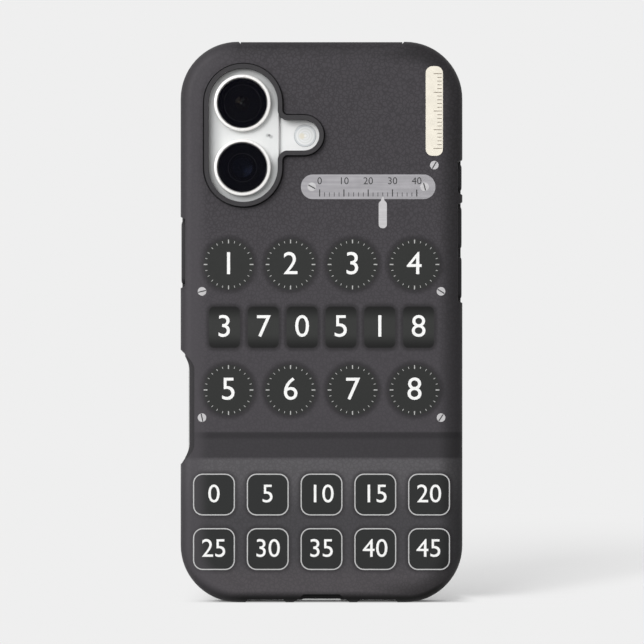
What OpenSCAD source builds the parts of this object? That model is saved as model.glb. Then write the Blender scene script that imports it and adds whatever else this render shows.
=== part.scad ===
// Smartphone in a two-layer protective case, standing upright on its lower edge.
// Everything is drawn with the phone lying on its screen: x runs across the phone, y up it and
// z from the screen to the back. upright() then stands it up with its back towards -Y.

/* [Phone] */
// Width of the phone
phone_w = 71.6; // [69:0.1:77]
// Height of the phone
phone_h = 147.6; // [144:0.1:158]
// Thickness of the phone from glass to glass
phone_t = 7.8; // [7.6:0.1:9]
// Corner radius of the phone
phone_corner_r = 13.3; // [12:0.1:14.5]
// Rounding along the side frame's two edges
frame_edge_r = 1.2; // [0.9:0.1:1.4]
// Wall of the side frame
frame_wall = 2.4; // [2:0.1:2.8]
// Thickness of the back glass
back_glass_t = 0.8; // [0.6:0.1:1]
// Thickness of the cover glass over the screen
cover_glass_t = 0.8; // [0.6:0.1:0.9]
// Thickness of the display panel
display_t = 1.1; // [0.9:0.1:1.2]
// Thickness of the gasket under the cover glass
gasket_t = 0.15; // [0.1:0.05:0.2]
// Width of an antenna band
band_w = 1; // [0.6:0.1:1.6]
// Depth of an antenna band in the frame
band_depth = 1.1; // [0.8:0.1:1.4]
// Distance of the side antenna bands from the phone's ends
band_from_end = 15.5; // [15:0.5:22]

/* [Rear cameras] */
// Distance of the lens axes from the phone's side
lens_from_side = 14.6; // [14:0.1:16]
// Distance of the upper lens axis from the phone's top
lens_from_top = 15.2; // [14.4:0.1:17]
// Distance between the two lens axes
lens_pitch = 17.25; // [17:0.05:20]
// Distance from the lens axes to the flash
flash_offset = 16.8; // [16:0.1:19]
// Diameter of the flash window
flash_d = 6; // [5:0.1:6.6]
// Distance from the lens axes to the microphone hole
mic_offset = 7.25; // [7:0.05:7.4]
// Diameter of the microphone hole
mic_hole_d = 0.7; // [0.5:0.1:1]
// Half width of the camera plateau
plateau_r = 9.85; // [9.7:0.05:9.95]
// Height of the camera plateau over the back glass
plateau_h = 1.5; // [1.2:0.1:1.7]
// Radius of the hollow flare round the plateau's foot
flare_r = 0.8; // [0.5:0.1:0.9]
// Glass left over the hollow of the plateau
plateau_skin = 1.2; // [1:0.1:1.4]
// Outer diameter of a lens ring
ring_d = 15.3; // [14.8:0.1:15.8]
// Height of a lens ring over the plateau
ring_h = 1.9; // [1.6:0.1:2]
// Width of a lens ring's rim
ring_rim = 0.85; // [0.7:0.05:1.1]
// Width of the ledge that carries a lens window
ring_ledge = 0.25; // [0.2:0.05:0.3]
// Wall of a lens ring's sleeve in the glass
sleeve_t = 0.45; // [0.3:0.05:0.5]
// Thickness of a lens window
window_t = 0.5; // [0.4:0.1:0.6]
// How far a lens window lies under its ring's top
window_sunk = 0.3; // [0.2:0.1:0.5]
// Side of the main camera's body
main_body = 14.6; // [13.4:0.1:15]
// Diameter of the main camera's lens barrel
main_barrel_d = 9.6; // [8:0.1:10]
// Focus travel of the main camera
main_travel = 0.35; // [0.2:0.05:0.4]
// Side of the ultrawide camera's body
wide_body = 12.4; // [11.4:0.1:13]
// Diameter of the ultrawide camera's lens barrel
wide_barrel_d = 7.4; // [6:0.1:8]
// Focus travel of the ultrawide camera
wide_travel = 0.3; // [0.2:0.05:0.4]
// Thickness of an image sensor on its board
sensor_t = 0.9; // [0.7:0.1:1.1]

/* [Buttons] */
// Distance of the action button from the phone's top
action_from_top = 34.95; // [33:0.05:36]
// Length of the action pad
action_pad_l = 7.1; // [6.6:0.1:8]
// Distance of the volume up button from the phone's top
volume_up_from_top = 48.4; // [47.5:0.1:48.8]
// Distance of the volume down button from the phone's top
volume_down_from_top = 61.9; // [61.4:0.1:66]
// Length of a volume pad
volume_pad_l = 11.2; // [10:0.1:12]
// Distance of the side button from the phone's top
power_from_top = 55.15; // [50:0.05:62]
// Length of the power pad
power_pad_l = 16.8; // [15:0.1:20]
// Distance of the camera control from the phone's top
control_from_top = 96.6; // [94:0.1:105]
// Length of the camera control button
control_l = 18; // [15:0.1:19]
// Height of the phone's buttons
button_h = 2.6; // [2.2:0.1:3]
// How far a phone button stands proud of the frame
button_proud = 0.35; // [0.25:0.05:0.4]
// How much longer a pad is than the button under it
pad_cover = 1.2; // [0.8:0.1:1.6]
// Height of the pads
pad_h = 3.6; // [3.2:0.1:4.2]
// Depth of a button's cap in its slot
cap_depth = 1.1; // [0.8:0.1:1.3]
// Travel of the camera control
control_travel = 0.15; // [0.1:0.05:0.2]
// Running gap round a button and round a pad
button_gap = 0.08; // [0.05:0.01:0.1]
// Diameter of a button's plunger
plunger_d = 1.2; // [1:0.1:1.4]
// Length of a button's switch bracket
switch_l = 8; // [6:0.1:9]

/* [Case] */
// Gap between the phone and the liner
case_fit = 0.05; // [0.03:0.01:0.08]
// Wall of the liner
liner_t = 0.8; // [0.7:0.05:1.1]
// Gap between the liner and the shell
layer_gap = 0.05; // [0.03:0.01:0.08]
// Wall of the shell at the long sides
shell_side_t = 1.15; // [0.9:0.05:1.5]
// Wall of the shell at the two ends
shell_end_t = 0.6; // [0.55:0.05:0.9]
// Wall of the shell at the back
shell_back_t = 1.1; // [0.9:0.05:1.5]
// How far the front rim stands over the screen
rim_h = 1; // [0.6:0.1:1.4]
// How far the front rim reaches over the phone's edge
rim_over = 1.5; // [1.4:0.05:1.8]
// How far the front rim stays inside the shell's outline
rim_step = 0.2; // [0.1:0.05:0.4]
// Thickness of the front rim's flange beside the phone
rim_flange = 0.15; // [0.1:0.05:0.4]
// Width of the camera lip
lip_w = 1.2; // [1.1:0.05:1.4]
// Width of the groove between the camera lip and the shell
groove_w = 0.35; // [0.2:0.05:0.5]
// How far the camera lip stands over the lens rings
lip_over = 0.4; // [0.2:0.1:0.8]
// Half width of the shell's camera cut-out
cutout_r = 10.8; // [10.7:0.05:11.2]
// How far the cut-out's middle line lies inwards of the lens axes
cutout_shift = 0.25; // [0:0.05:0.3]
// Half height of the cut-out's lobe round the flash
lobe_r = 5.7; // [5.5:0.05:5.9]
// How far the lobe's middle lies from the flash's, towards the lenses
lobe_shift = 0.35; // [0:0.05:0.4]
// Radius of the hollow corners between cut-out and lobe
cutout_corner_r = 1.2; // [0.8:0.1:2]
// Depth of the shell's cuts at the pads
notch_depth = 1.35; // [1.2:0.05:1.6]
// Space between a pad and the end of its cut
notch_space = 0.6; // [0.4:0.1:0.9]
// Run of a cut's slanted end
notch_slope = 0.6; // [0.4:0.1:0.8]
// Depth of the shell's cut at the camera control
control_cut = 3.8; // [3:0.1:4]
// Depth of the liner's cut at the camera control
control_liner_cut = 2.4; // [2.2:0.05:2.5]
// Run of the slanted ends at the camera control
control_slope = 5.4; // [3:0.1:6]
// Length of the bar in the shell's upper edge
top_bar_l = 43.4; // [30:0.1:44]
// How far the bar stays inside the shell's outline
top_bar_step = 0.1; // [0.05:0.05:0.4]
// Depth of the shell's cut at the port
port_cut = 2.35; // [1.4:0.05:2.5]
// Depth of the liner's cut at the port
port_liner_cut = 1.04; // [0.9:0.01:1.1]
// Width of the port cut at its inner edge
port_cut_w = 9.6; // [9:0.1:12]
// Run of the port cut's slanted ends
port_slope = 2.8; // [1.5:0.1:3]
// Depth of the shell's shallow cuts at the sound slots
sound_cut = 0.8; // [0.75:0.05:0.9]

/* [Lower edge] */
// Width of the port's opening
port_w = 9; // [8.6:0.1:9.2]
// Height of the port's opening
port_h = 3.2; // [3:0.1:3.4]
// Depth of the port
port_depth = 7.2; // [6.6:0.1:8]
// Wall of the port's metal shell
port_wall = 0.3; // [0.2:0.05:0.35]
// Thickness of the port's tongue
tongue_t = 0.7; // [0.6:0.05:0.8]
// Distance of the lower edge screws from the port's middle
screw_offset = 6.3; // [6:0.1:6.6]
// Head diameter of the lower edge screws
screw_d = 1.5; // [1.2:0.1:1.8]
// Diameter of a sound hole
sound_hole_d = 1.3; // [1:0.1:1.5]
// Distance between sound holes
sound_pitch = 2.1; // [1.9:0.1:2.3]
// Number of sound holes in each group
sound_count = 5; // [3:1:5]
// Distance of each group's middle from the port's middle
sound_offset = 15; // [14.5:0.1:16]

/* [Inside] */
// Gap between stacked pieces inside
stack_gap = 0.2; // [0.1:0.05:0.25]
// Thickness of the mid plate
mid_t = 0.5; // [0.4:0.05:0.6]
// Space between the mid plate and the back glass
coil_space = 0.6; // [0.55:0.05:0.7]
// Thickness of the charging coil
coil_t = 0.3; // [0.2:0.05:0.3]
// Thickness of the ferrite under the coil
ferrite_t = 0.2; // [0.1:0.05:0.2]
// Inner radius of the charging coil
coil_in_r = 10.5; // [9:0.5:13]
// Outer radius of the charging coil
coil_out_r = 21.5; // [19:0.5:22]
// Inner radius of the magnet ring
magnet_in_r = 23; // [22.5:0.1:24.5]
// Outer radius of the magnet ring
magnet_out_r = 27.8; // [26:0.1:28.5]
// Number of magnets in the ring
magnet_count = 16; // [10:1:20]
// Space between the battery and the logic board
battery_gap = 2.8; // [1.8:0.1:5]
// Space between the battery and the cameras
camera_gap = 4.15; // [1:0.05:10]
// Thickness of the battery
battery_t = 3.3; // [3:0.1:3.3]
// Thickness of the battery's adhesive strips
adhesive_t = 0.15; // [0.1:0.05:0.2]
// Distance of the battery's lower edge from the phone's lower end
battery_from_end = 23.8; // [23.6:0.1:24.2]
// Width of the logic board
board_w = 20; // [18:0.5:20]
// Space between the logic board and the loudspeaker
board_gap = 21.4; // [20:0.1:30]
// Thickness of the logic board
board_t = 0.8; // [0.6:0.1:0.9]
// Height of the shield cans
can_h = 1.3; // [1.1:0.1:1.5]
// Sheet thickness of the shield cans
can_sheet = 0.15; // [0.1:0.05:0.2]
// Length of the haptic housing
haptic_l = 22; // [20:0.5:22]
// Width of the haptic housing
haptic_w = 7; // [6:0.1:8]
// Height of the haptic housing and of the loudspeaker
haptic_h = 3.4; // [3:0.1:3.5]
// Length of the moving haptic mass
mass_l = 14; // [12:0.5:15]
// Travel of the haptic mass to each side
mass_travel = 0.4; // [0.3:0.05:0.5]
// Length of the loudspeaker
speaker_l = 21.5; // [18:0.5:22]
// Width of the loudspeaker
speaker_w = 14; // [12:0.5:14.5]
// Thickness of the flexible circuits
flex_t = 0.15; // [0.1:0.05:0.2]

/* [Hidden] */
$fn = 72;
over = 1;                      // how far a cutting shape runs past what it cuts
lap = 0.03;                    // overlap that keeps two joined shapes from only touching

// side frame and cavity
cavity_w = phone_w - 2 * frame_wall;
cavity_h = phone_h - 2 * frame_wall;
cavity_r = phone_corner_r - frame_wall;
glass_gap = 0.05;
glass_inset = frame_edge_r + 0.1;
glass_w = phone_w - 2 * glass_inset;
glass_h = phone_h - 2 * glass_inset;
glass_r = phone_corner_r - glass_inset;
glass_edge_r = 0.35;
mid_z = phone_t / 2;           // height of the side buttons and of the port over the screen

// stack from the screen to the back
display_back = cover_glass_t + display_t;
stack_low = display_back + stack_gap;
mid_high = phone_t - back_glass_t - coil_space;
mid_low = mid_high - mid_t;
coil_high = phone_t - back_glass_t;

// rear cameras
lens_x = lens_from_side - phone_w / 2;
lens_y = phone_h / 2 - lens_from_top;
low_lens_y = lens_y - lens_pitch;
flash_x = lens_x + flash_offset;
flash_y = lens_y - lens_pitch / 2;
plateau_top = phone_t + plateau_h;
hollow_top = plateau_top - plateau_skin;
ring_top = plateau_top + ring_h;
ring_bore = ring_d / 2 - ring_rim;
ledge_bore = ring_bore - ring_ledge;
sleeve_r = ledge_bore + sleeve_t;
hollow_r = plateau_r - plateau_skin;
window_high = ring_top - window_sunk;
window_low = window_high - window_t;
camera_neck_r = ledge_bore - 0.3;

// buttons
action_y = phone_h / 2 - action_from_top;
volume_up_y = phone_h / 2 - volume_up_from_top;
volume_down_y = phone_h / 2 - volume_down_from_top;
power_y = phone_h / 2 - power_from_top;
control_y = phone_h / 2 - control_from_top;
right = 1;
left = -1;
button_travel = button_proud - case_fit;
switch_room = 1.2;             // depth of a switch bracket on the cavity wall

// case
liner_w = phone_w + 2 * (case_fit + liner_t);
liner_h = phone_h + 2 * (case_fit + liner_t);
liner_r = phone_corner_r + case_fit + liner_t;
liner_edge_r = frame_edge_r + case_fit + liner_t;
liner_back = phone_t + case_fit + liner_t;
case_w = liner_w + 2 * (layer_gap + shell_side_t);
case_h = liner_h + 2 * (layer_gap + shell_end_t);
case_r = liner_r + layer_gap + shell_side_t;
case_edge_r = liner_edge_r + layer_gap + shell_back_t;
case_back = liner_back + layer_gap + shell_back_t;
shell_front = rim_flange + layer_gap;
shell_front_r = 0.3;
rim_r = 0.7;
lip_top = ring_top + lip_over;
plateau_clear = 0.25;
pad_out = case_w / 2 - 0.15;   // a pad stays just inside the shell's outline
slot_h = 2.6;                  // height of the liner's sound slots
port_opening_w = 2 * screw_offset + screw_d + 0.6;
port_opening_h = 5.4;

// inside
battery_side_gap = switch_room + 0.3;
board_x = cavity_w / 2 - battery_side_gap - board_w;
board_low = mid_low - board_t;
battery_x = -cavity_w / 2 + battery_side_gap;
battery_y = -phone_h / 2 + battery_from_end;
battery_w = board_x - battery_gap - battery_x;
battery_l = low_lens_y - wide_body / 2 - camera_gap - battery_y;
lower_gap = 2;                 // from the cavity's lower wall to the haptic housing and the speaker
lower_y = -cavity_h / 2 + lower_gap;
upper_gap = 5.4;               // from the cavity's upper wall to the logic board
board_y = lower_y + speaker_w + board_gap;
board_l = cavity_h / 2 - upper_gap - board_y;
screw_inset = 1.6;
chip_inset = 3;                // from a shield can's side walls to its chip
chip_end_gap = 5;              // from a shield can's end walls to its chip
flex_w = 8;                    // width of the display's flexible circuit
flex_inset = 4;                // from the board's side to that circuit
flex_step = 2.5;               // from the board's lower end to that circuit
port_flex_w = 5;
port_flex_inset = 14;          // from the board's side to the port's flexible circuit
switch_h = 2;                  // height of a switch bracket
// from the cavity's side to their corners, so that these clear its round corners
corner_gap = cavity_r - sqrt(cavity_r ^ 2 - (cavity_r - lower_gap) ^ 2) + 0.3;
haptic_x = -cavity_w / 2 + corner_gap;
haptic_wall = 0.3;
speaker_x = cavity_w / 2 - corner_gap - speaker_l;
island_from_top = 8.3;
island_w = 20;
island_h = 5.8;
island_y = phone_h / 2 - island_from_top;
front_depth = 3.1;             // depth of the front camera and the face sensor
earpiece_w = 12;
earpiece_slot = 0.5;

// ---- shared shapes ----

// Stands the phone up: its back faces -Y, and its lower edge rests at z = 0.
module upright() {
    translate([0, (lip_top - rim_h) / 2, case_h / 2]) rotate([90, 0, 0]) children();
}

// Rectangle with round corners, centred.
module rounded_rect(w, h, r) {
    square([w - 2 * r, h], center = true);
    square([w, h - 2 * r], center = true);
    for (sx = [-1, 1], sy = [-1, 1])
        translate([sx * (w / 2 - r), sy * (h / 2 - r)]) circle(r);
}

// Pill with its long side along y, centred.
module pill(w, l) {
    square([w, l - w], center = true);
    for (s = [-1, 1]) translate([0, s * (l - w) / 2]) circle(w / 2);
}

// Half of a slab's cross-section, from x = 0 to its edge, with round lower and upper edges.
module edge_section(reach, low, high, low_r, high_r) {
    difference() {
        translate([0, low]) square([reach, high - low]);
        if (low_r > 0) translate([reach - low_r, low + low_r]) difference() {
            translate([0, -low_r - over]) square([low_r + over, low_r + over]);
            circle(low_r);
        }
        if (high_r > 0) translate([reach - high_r, high - high_r]) difference() {
            square([high_r + over, high_r + over]);
            circle(high_r);
        }
    }
}

// Slab with round corners in plan and round edges, from z = low to z = high.
module slab(w, h, r, low, high, low_r, high_r) {
    run_x = w / 2 - r;
    run_y = h / 2 - r;
    for (turn = [0, 180]) rotate([0, 0, turn]) {
        translate([run_x, run_y, 0])
            rotate_extrude(angle = 90) edge_section(r, low, high, low_r, high_r);
        translate([-run_x, run_y, 0]) rotate([0, 0, 90])
            rotate_extrude(angle = 90) edge_section(r, low, high, low_r, high_r);
        translate([run_x, 0, 0]) rotate([90, 0, 0])
            linear_extrude(2 * run_y, center = true) edge_section(r, low, high, low_r, high_r);
        translate([0, run_y, 0]) rotate([0, 0, 90]) rotate([90, 0, 0])
            linear_extrude(2 * run_x, center = true) edge_section(r, low, high, low_r, high_r);
    }
    translate([-run_x, -run_y, low]) cube([2 * run_x, 2 * run_y, high - low]);
}

// Plate with round corners, from z = low to z = high.
module plate(w, h, r, low, high) {
    translate([0, 0, low]) linear_extrude(high - low) rounded_rect(w, h, r);
}

// Pill-shaped bar that points outwards along x, from x = from to x = to.
module bar_out(l, h, from, to) {
    translate([from, 0, mid_z]) rotate([0, 90, 0]) linear_extrude(to - from) pill(h, l);
}

// Puts what is drawn for the right side at height y on either side of the phone.
module at_side(side, y) {
    mirror([side < 0 ? 1 : 0, 0, 0]) translate([0, y, 0]) children();
}

// Camera cut-out as seen from the back, drawn smaller all round by inset.
module camera_outline(inset) {
    r = cutout_r - inset;
    lobe = lobe_r - inset;
    corner = cutout_corner_r + inset;
    middle = lens_x + cutout_shift;
    translate([middle, flash_y]) pill(2 * r, lens_pitch + 2 * r);
    translate([flash_x - lobe_shift, flash_y]) circle(lobe);
    translate([middle, flash_y - lobe])
        square([flash_offset - cutout_shift - lobe_shift, 2 * lobe]);
    for (s = [-1, 1]) translate([middle + r - lap, flash_y + s * (lobe - lap)])
        difference() {
            translate([0, s < 0 ? -corner : 0]) square([corner, corner]);
            translate([corner, s * corner]) circle(corner);
        }
}

// Pill round both lens axes, from z = low to z = high.
module lens_pill(r, low, high) {
    translate([lens_x, flash_y, low]) linear_extrude(high - low) pill(2 * r, lens_pitch + 2 * r);
}

// One end of a cut, from its bottom out to the edge at x = 0: straight where steps is 1.
function cut_end(inner_l, depth, slope, steps) = [for (i = [0 : steps])
    [-depth * cos(90 * i / steps), inner_l / 2 + slope * i / steps]];

// Outline of a cut into an edge along y; inner_l is its length at the bottom.
module cut_outline(inner_l, depth, slope, steps) {
    points = cut_end(inner_l, depth, slope, steps);
    for (s = [0, 1]) mirror([0, s, 0])
        polygon(concat([[-depth, -lap]], points, [[over, inner_l / 2 + slope], [over, -lap]]));
}

// Cut through a long side of the case.
module side_cut(side, y, inner_l, depth, slope, steps = 1) {
    at_side(side, y) translate([case_w / 2, 0, -rim_h - over])
        linear_extrude(lip_top + rim_h + 2 * over) cut_outline(inner_l, depth, slope, steps);
}

// Cut through an end of the case: end is 1 at the top and -1 at the bottom.
module end_cut(end, x, inner_w, depth, slope) {
    translate([x, end * case_h / 2, -rim_h - over]) rotate([0, 0, 90 * end])
        linear_extrude(lip_top + rim_h + 2 * over) cut_outline(inner_w, depth, slope, 1);
}

// Hole along y through the phone's lower end, from the outside to y = deep above it.
module into_lower_end(x, deep) {
    translate([x, -phone_h / 2 - over, mid_z]) rotate([-90, 0, 0])
        linear_extrude(deep + over) children();
}

// Column from z = low to z = high on the point x, y.
module column(x, y, d, low, high) {
    translate([x, y, low]) cylinder(h = high - low, d = d);
}

// Box between two corners.
module box(a, b) {
    translate(a) cube(b - a);
}

// ---- case ----

volume_mid = (volume_up_y + volume_down_y) / 2;
volume_run = volume_up_from_top < volume_down_from_top
    ? volume_down_from_top - volume_up_from_top : 0;

module pad_cuts() {
    side_cut(right, action_y, action_pad_l + 2 * notch_space, notch_depth, notch_slope);
    side_cut(right, volume_mid, volume_run + volume_pad_l + 2 * notch_space, notch_depth,
             notch_slope);
    side_cut(left, power_y, power_pad_l + 2 * notch_space, notch_depth, notch_slope);
}

control_cut_l = control_l + 2;
cut_steps = 8;                 // steps of that cut's curved ends
sound_cut_w = (sound_count - 1) * sound_pitch + sound_hole_d;

module case_shell() {
    color("#49484b") upright() difference() {
        slab(case_w, case_h, case_r, shell_front, case_back, shell_front_r, case_edge_r);
        slab(liner_w + 2 * layer_gap, liner_h + 2 * layer_gap, liner_r + layer_gap,
             shell_front - over, liner_back + layer_gap, 0, liner_edge_r + layer_gap);
        translate([0, 0, phone_t]) linear_extrude(lip_top) camera_outline(0);
        pad_cuts();
        side_cut(left, control_y, control_cut_l, control_cut, control_slope, cut_steps);
        end_cut(-1, 0, port_cut_w, port_cut, port_slope);
        for (s = [-1, 1]) end_cut(-1, s * sound_offset, sound_cut_w, sound_cut, notch_slope);
        end_cut(1, 0, top_bar_l, shell_end_t + layer_gap + lap, notch_slope);
    }
}

module case_liner() {
    opening_w = phone_w - 2 * rim_over;
    opening_h = phone_h - 2 * rim_over;
    color("#3c3b3e") upright() difference() {
        union() {
            slab(liner_w, liner_h, liner_r, 0, liner_back, 0, liner_edge_r);
            slab(case_w - 2 * rim_step, case_h - 2 * rim_step, case_r - rim_step,
                 -rim_h, rim_flange, rim_r, 0);
            translate([0, 0, phone_t + case_fit])
                linear_extrude(lip_top - phone_t - case_fit) camera_outline(groove_w);
            box([-top_bar_l / 2, cavity_h / 2, rim_flange - lap],
                [top_bar_l / 2, case_h / 2 - top_bar_step, liner_back - liner_edge_r]);
        }
        slab(phone_w + 2 * case_fit, phone_h + 2 * case_fit, phone_corner_r + case_fit,
             -case_fit, phone_t + case_fit, frame_edge_r + case_fit, frame_edge_r + case_fit);
        plate(opening_w, opening_h, phone_corner_r - rim_over, -rim_h - over, mid_z);
        translate([0, 0, mid_z]) linear_extrude(lip_top) camera_outline(groove_w + lip_w);
        lens_pill(plateau_r + plateau_clear, mid_z, plateau_top + 2 * case_fit);
        lens_pill(plateau_r + flare_r + 2 * case_fit, mid_z, phone_t + 0.35);
        pad_windows();
        side_cut(left, control_y, control_cut_l, control_liner_cut, control_slope, cut_steps);
        end_cut(-1, 0, port_cut_w, port_liner_cut, port_slope * 0.6);
        for (s = [-1, 1]) end_cut(-1, s * sound_offset, sound_cut_w, rim_step + 0.26, notch_slope);
        translate([0, -over, 0]) into_lower_end(0, 2 * over + rim_over)
            rotate([0, 0, 90]) pill(port_opening_h, port_opening_w);
        for (s = [-1, 1]) translate([0, -over, 0])
            into_lower_end(s * sound_offset, 2 * over + rim_over)
                rotate([0, 0, 90]) pill(slot_h, sound_cut_w + slot_h - sound_hole_d);
    }
}

module pad_windows() {
    from = cavity_w / 2;
    at_side(right, action_y) pad_bar(action_pad_l, button_gap, from, case_w / 2 + over);
    at_side(right, volume_up_y) pad_bar(volume_pad_l, button_gap, from, case_w / 2 + over);
    at_side(right, volume_down_y) pad_bar(volume_pad_l, button_gap, from, case_w / 2 + over);
    at_side(left, power_y) pad_bar(power_pad_l, button_gap, from, case_w / 2 + over);
}

// A pad's outline, larger all round by gap, from x = from to x = to.
module pad_bar(l, gap, from, to) {
    bar_out(l + 2 * gap, pad_h + 2 * gap, from, to);
}

module pad(side, y, l) {
    color("#444347") upright() at_side(side, y)
        pad_bar(l, 0, phone_w / 2 + button_proud, pad_out);
}

module action_pad() { pad(right, action_y, action_pad_l); }
module volume_up_pad() { pad(right, volume_up_y, volume_pad_l); }
module volume_down_pad() { pad(right, volume_down_y, volume_pad_l); }
module power_pad() { pad(left, power_y, power_pad_l); }

// ---- phone, outside ----

module band_boxes() {
    for (s = [-1, 1], e = [-1, 1]) at_side(s, e * (phone_h / 2 - band_from_end))
        box([phone_w / 2 - band_depth, -band_w / 2, -over],
            [phone_w / 2 + over, band_w / 2, phone_t + over]);
}

module frame_slab() {
    slab(phone_w, phone_h, phone_corner_r, glass_gap, phone_t - glass_gap,
         frame_edge_r, frame_edge_r);
}

// Slot for a button's cap, deep enough for its travel, and hole for its plunger.
module button_slot(side, y, l, travel) {
    at_side(side, y) {
        bar_out(l + 2 * button_gap, button_h + 2 * button_gap,
                phone_w / 2 - cap_depth - travel - button_gap, phone_w / 2 + over);
        translate([cavity_w / 2 - over, 0, mid_z]) rotate([0, 90, 0])
            cylinder(h = frame_wall, d = plunger_d + 2 * button_gap);
    }
}

module side_frame() {
    color("#dededc") upright() difference() {
        frame_slab();
        plate(cavity_w, cavity_h, cavity_r, -over, phone_t + over);
        plate(glass_w + 2 * glass_gap, glass_h + 2 * glass_gap, glass_r + glass_gap,
              -over, cover_glass_t + gasket_t);
        plate(glass_w + 2 * glass_gap, glass_h + 2 * glass_gap, glass_r + glass_gap,
              phone_t - back_glass_t, phone_t + over);
        band_boxes();
        button_slot(right, action_y, action_pad_l - pad_cover, button_travel);
        button_slot(right, volume_up_y, volume_pad_l - pad_cover, button_travel);
        button_slot(right, volume_down_y, volume_pad_l - pad_cover, button_travel);
        button_slot(left, power_y, power_pad_l - pad_cover, button_travel);
        button_slot(left, control_y, control_l, control_travel);
        into_lower_end(0, frame_wall + over) rotate([0, 0, 90]) pill(port_h, port_w);
        for (s = [-1, 1]) {
            into_lower_end(s * screw_offset, 1) circle(d = screw_d + 2 * glass_gap);
            into_lower_end(s * screw_offset, frame_wall + over) circle(d = screw_d / 2);
            for (i = [0 : sound_count - 1])
                into_lower_end(s * sound_offset + (i - (sound_count - 1) / 2) * sound_pitch,
                               frame_wall + over) circle(d = sound_hole_d);
        }
    }
}

module antenna_bands() {
    color("#cfcfcd") upright() intersection() {
        difference() {
            frame_slab();
            plate(glass_w + 2 * glass_gap, glass_h + 2 * glass_gap, glass_r + glass_gap,
                  -over, cover_glass_t + gasket_t);
            plate(glass_w + 2 * glass_gap, glass_h + 2 * glass_gap, glass_r + glass_gap,
                  phone_t - back_glass_t, phone_t + over);
        }
        band_boxes();
    }
}

// Cross-section of one end of the plateau, with the flare at its foot.
module plateau_section() {
    low = phone_t - back_glass_t / 2;
    edge_section(plateau_r, low, plateau_top, 0, 0.4);
    difference() {
        translate([plateau_r - lap, low])
            square([flare_r + lap, phone_t + flare_r - low - lap]);
        translate([plateau_r + flare_r, phone_t + flare_r - lap]) circle(flare_r);
        translate([plateau_r + flare_r / 2, phone_t]) square([flare_r, flare_r]);
    }
}

module back_glass() {
    color("#e2e2e0") upright() difference() {
        union() {
            slab(glass_w, glass_h, glass_r, phone_t - back_glass_t, phone_t, 0, glass_edge_r);
            for (s = [0, 180]) translate([lens_x, s > 0 ? low_lens_y : lens_y, 0])
                rotate([0, 0, s]) rotate_extrude(angle = 180) plateau_section();
            for (s = [0, 180]) translate([lens_x, flash_y, 0]) rotate([0, 0, s])
                rotate([90, 0, 0]) linear_extrude(lens_pitch, center = true) plateau_section();
        }
        lens_pill(hollow_r, mid_z, hollow_top);
        for (y = [lens_y, low_lens_y])
            column(lens_x, y, 2 * (sleeve_r + glass_gap), mid_z, plateau_top + over);
        column(flash_x, flash_y, flash_d, mid_z, phone_t + over);
        column(lens_x + mic_offset, flash_y, mic_hole_d, mid_z, plateau_top + over);
    }
}

module lens_ring(y) {
    rounding = 0.35;
    color("#f2f0ec") upright() translate([lens_x, y, 0]) rotate_extrude() {
        difference() {
            edge_section(ring_d / 2, plateau_top, ring_top, 0, rounding);
            translate([0, plateau_top - over]) square([ledge_bore, ring_h + 2 * over]);
            translate([0, window_low]) square([ring_bore, ring_h]);
        }
        translate([ledge_bore, hollow_top])
            square([sleeve_t, plateau_top - hollow_top + lap]);
    }
}

module upper_lens_ring() { lens_ring(lens_y); }
module lower_lens_ring() { lens_ring(low_lens_y); }

module lens_window(y) {
    color("#15161a") upright()
        column(lens_x, y, 2 * (ring_bore - glass_gap), window_low, window_high);
}

module upper_lens_window() { lens_window(lens_y); }
module lower_lens_window() { lens_window(low_lens_y); }

module flash_window() {
    color("#f4f3ee") upright()
        column(flash_x, flash_y, flash_d - 2 * glass_gap, coil_high, phone_t + glass_gap);
}

module flash_leds() {
    color("#e8d27a") upright() {
        column(flash_x, flash_y, flash_d - 1, mid_high, coil_high - 0.2);
        for (s = [-1, 1]) box([flash_x + s * 0.9 - 0.7, flash_y - 0.8, coil_high - 0.2 - lap],
                              [flash_x + s * 0.9 + 0.7, flash_y + 0.8, coil_high]);
    }
}

module rear_microphone() {
    half = 1.1;
    x = lens_x + mic_offset;
    color("#b9b9b4") upright() difference() {
        box([x - half, flash_y - half, hollow_top - 1.1], [x + half, flash_y + half, hollow_top]);
        column(x, flash_y, mic_hole_d / 2, hollow_top - 0.5, hollow_top + over);
    }
}

module cover_glass() {
    color("#101114") upright() difference() {
        slab(glass_w, glass_h, glass_r, 0, cover_glass_t, glass_edge_r, 0);
        box([-earpiece_w / 2, glass_h / 2 - earpiece_slot, -over],
            [earpiece_w / 2, glass_h / 2 + over, cover_glass_t + over]);
    }
}

module display_panel() {
    margin = 0.2;
    color("#1c1d22") upright() difference() {
        plate(cavity_w - 2 * margin, cavity_h - 2 * margin, cavity_r - margin,
              cover_glass_t, display_back);
        translate([0, island_y, cover_glass_t - over]) linear_extrude(display_t + 2 * over)
            rotate([0, 0, 90]) pill(island_h, island_w);
    }
}

module display_gasket() {
    color("#2a2a2a") upright() difference() {
        plate(glass_w, glass_h, glass_r, cover_glass_t, cover_glass_t + gasket_t);
        plate(cavity_w + 0.1, cavity_h + 0.1, cavity_r + 0.05, 0, 2 * cover_glass_t);
        box([-earpiece_w / 2, glass_h / 2 - earpiece_slot, 0],
            [earpiece_w / 2, glass_h / 2 + over, 2 * cover_glass_t]);
    }
}

module earpiece_mesh() {
    color("#3a3b3d") upright()
        box([-earpiece_w / 2 + glass_gap, glass_h / 2 - earpiece_slot + glass_gap, 0.1],
            [earpiece_w / 2 - glass_gap, glass_h / 2 + glass_gap / 2, cover_glass_t + gasket_t]);
}

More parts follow.
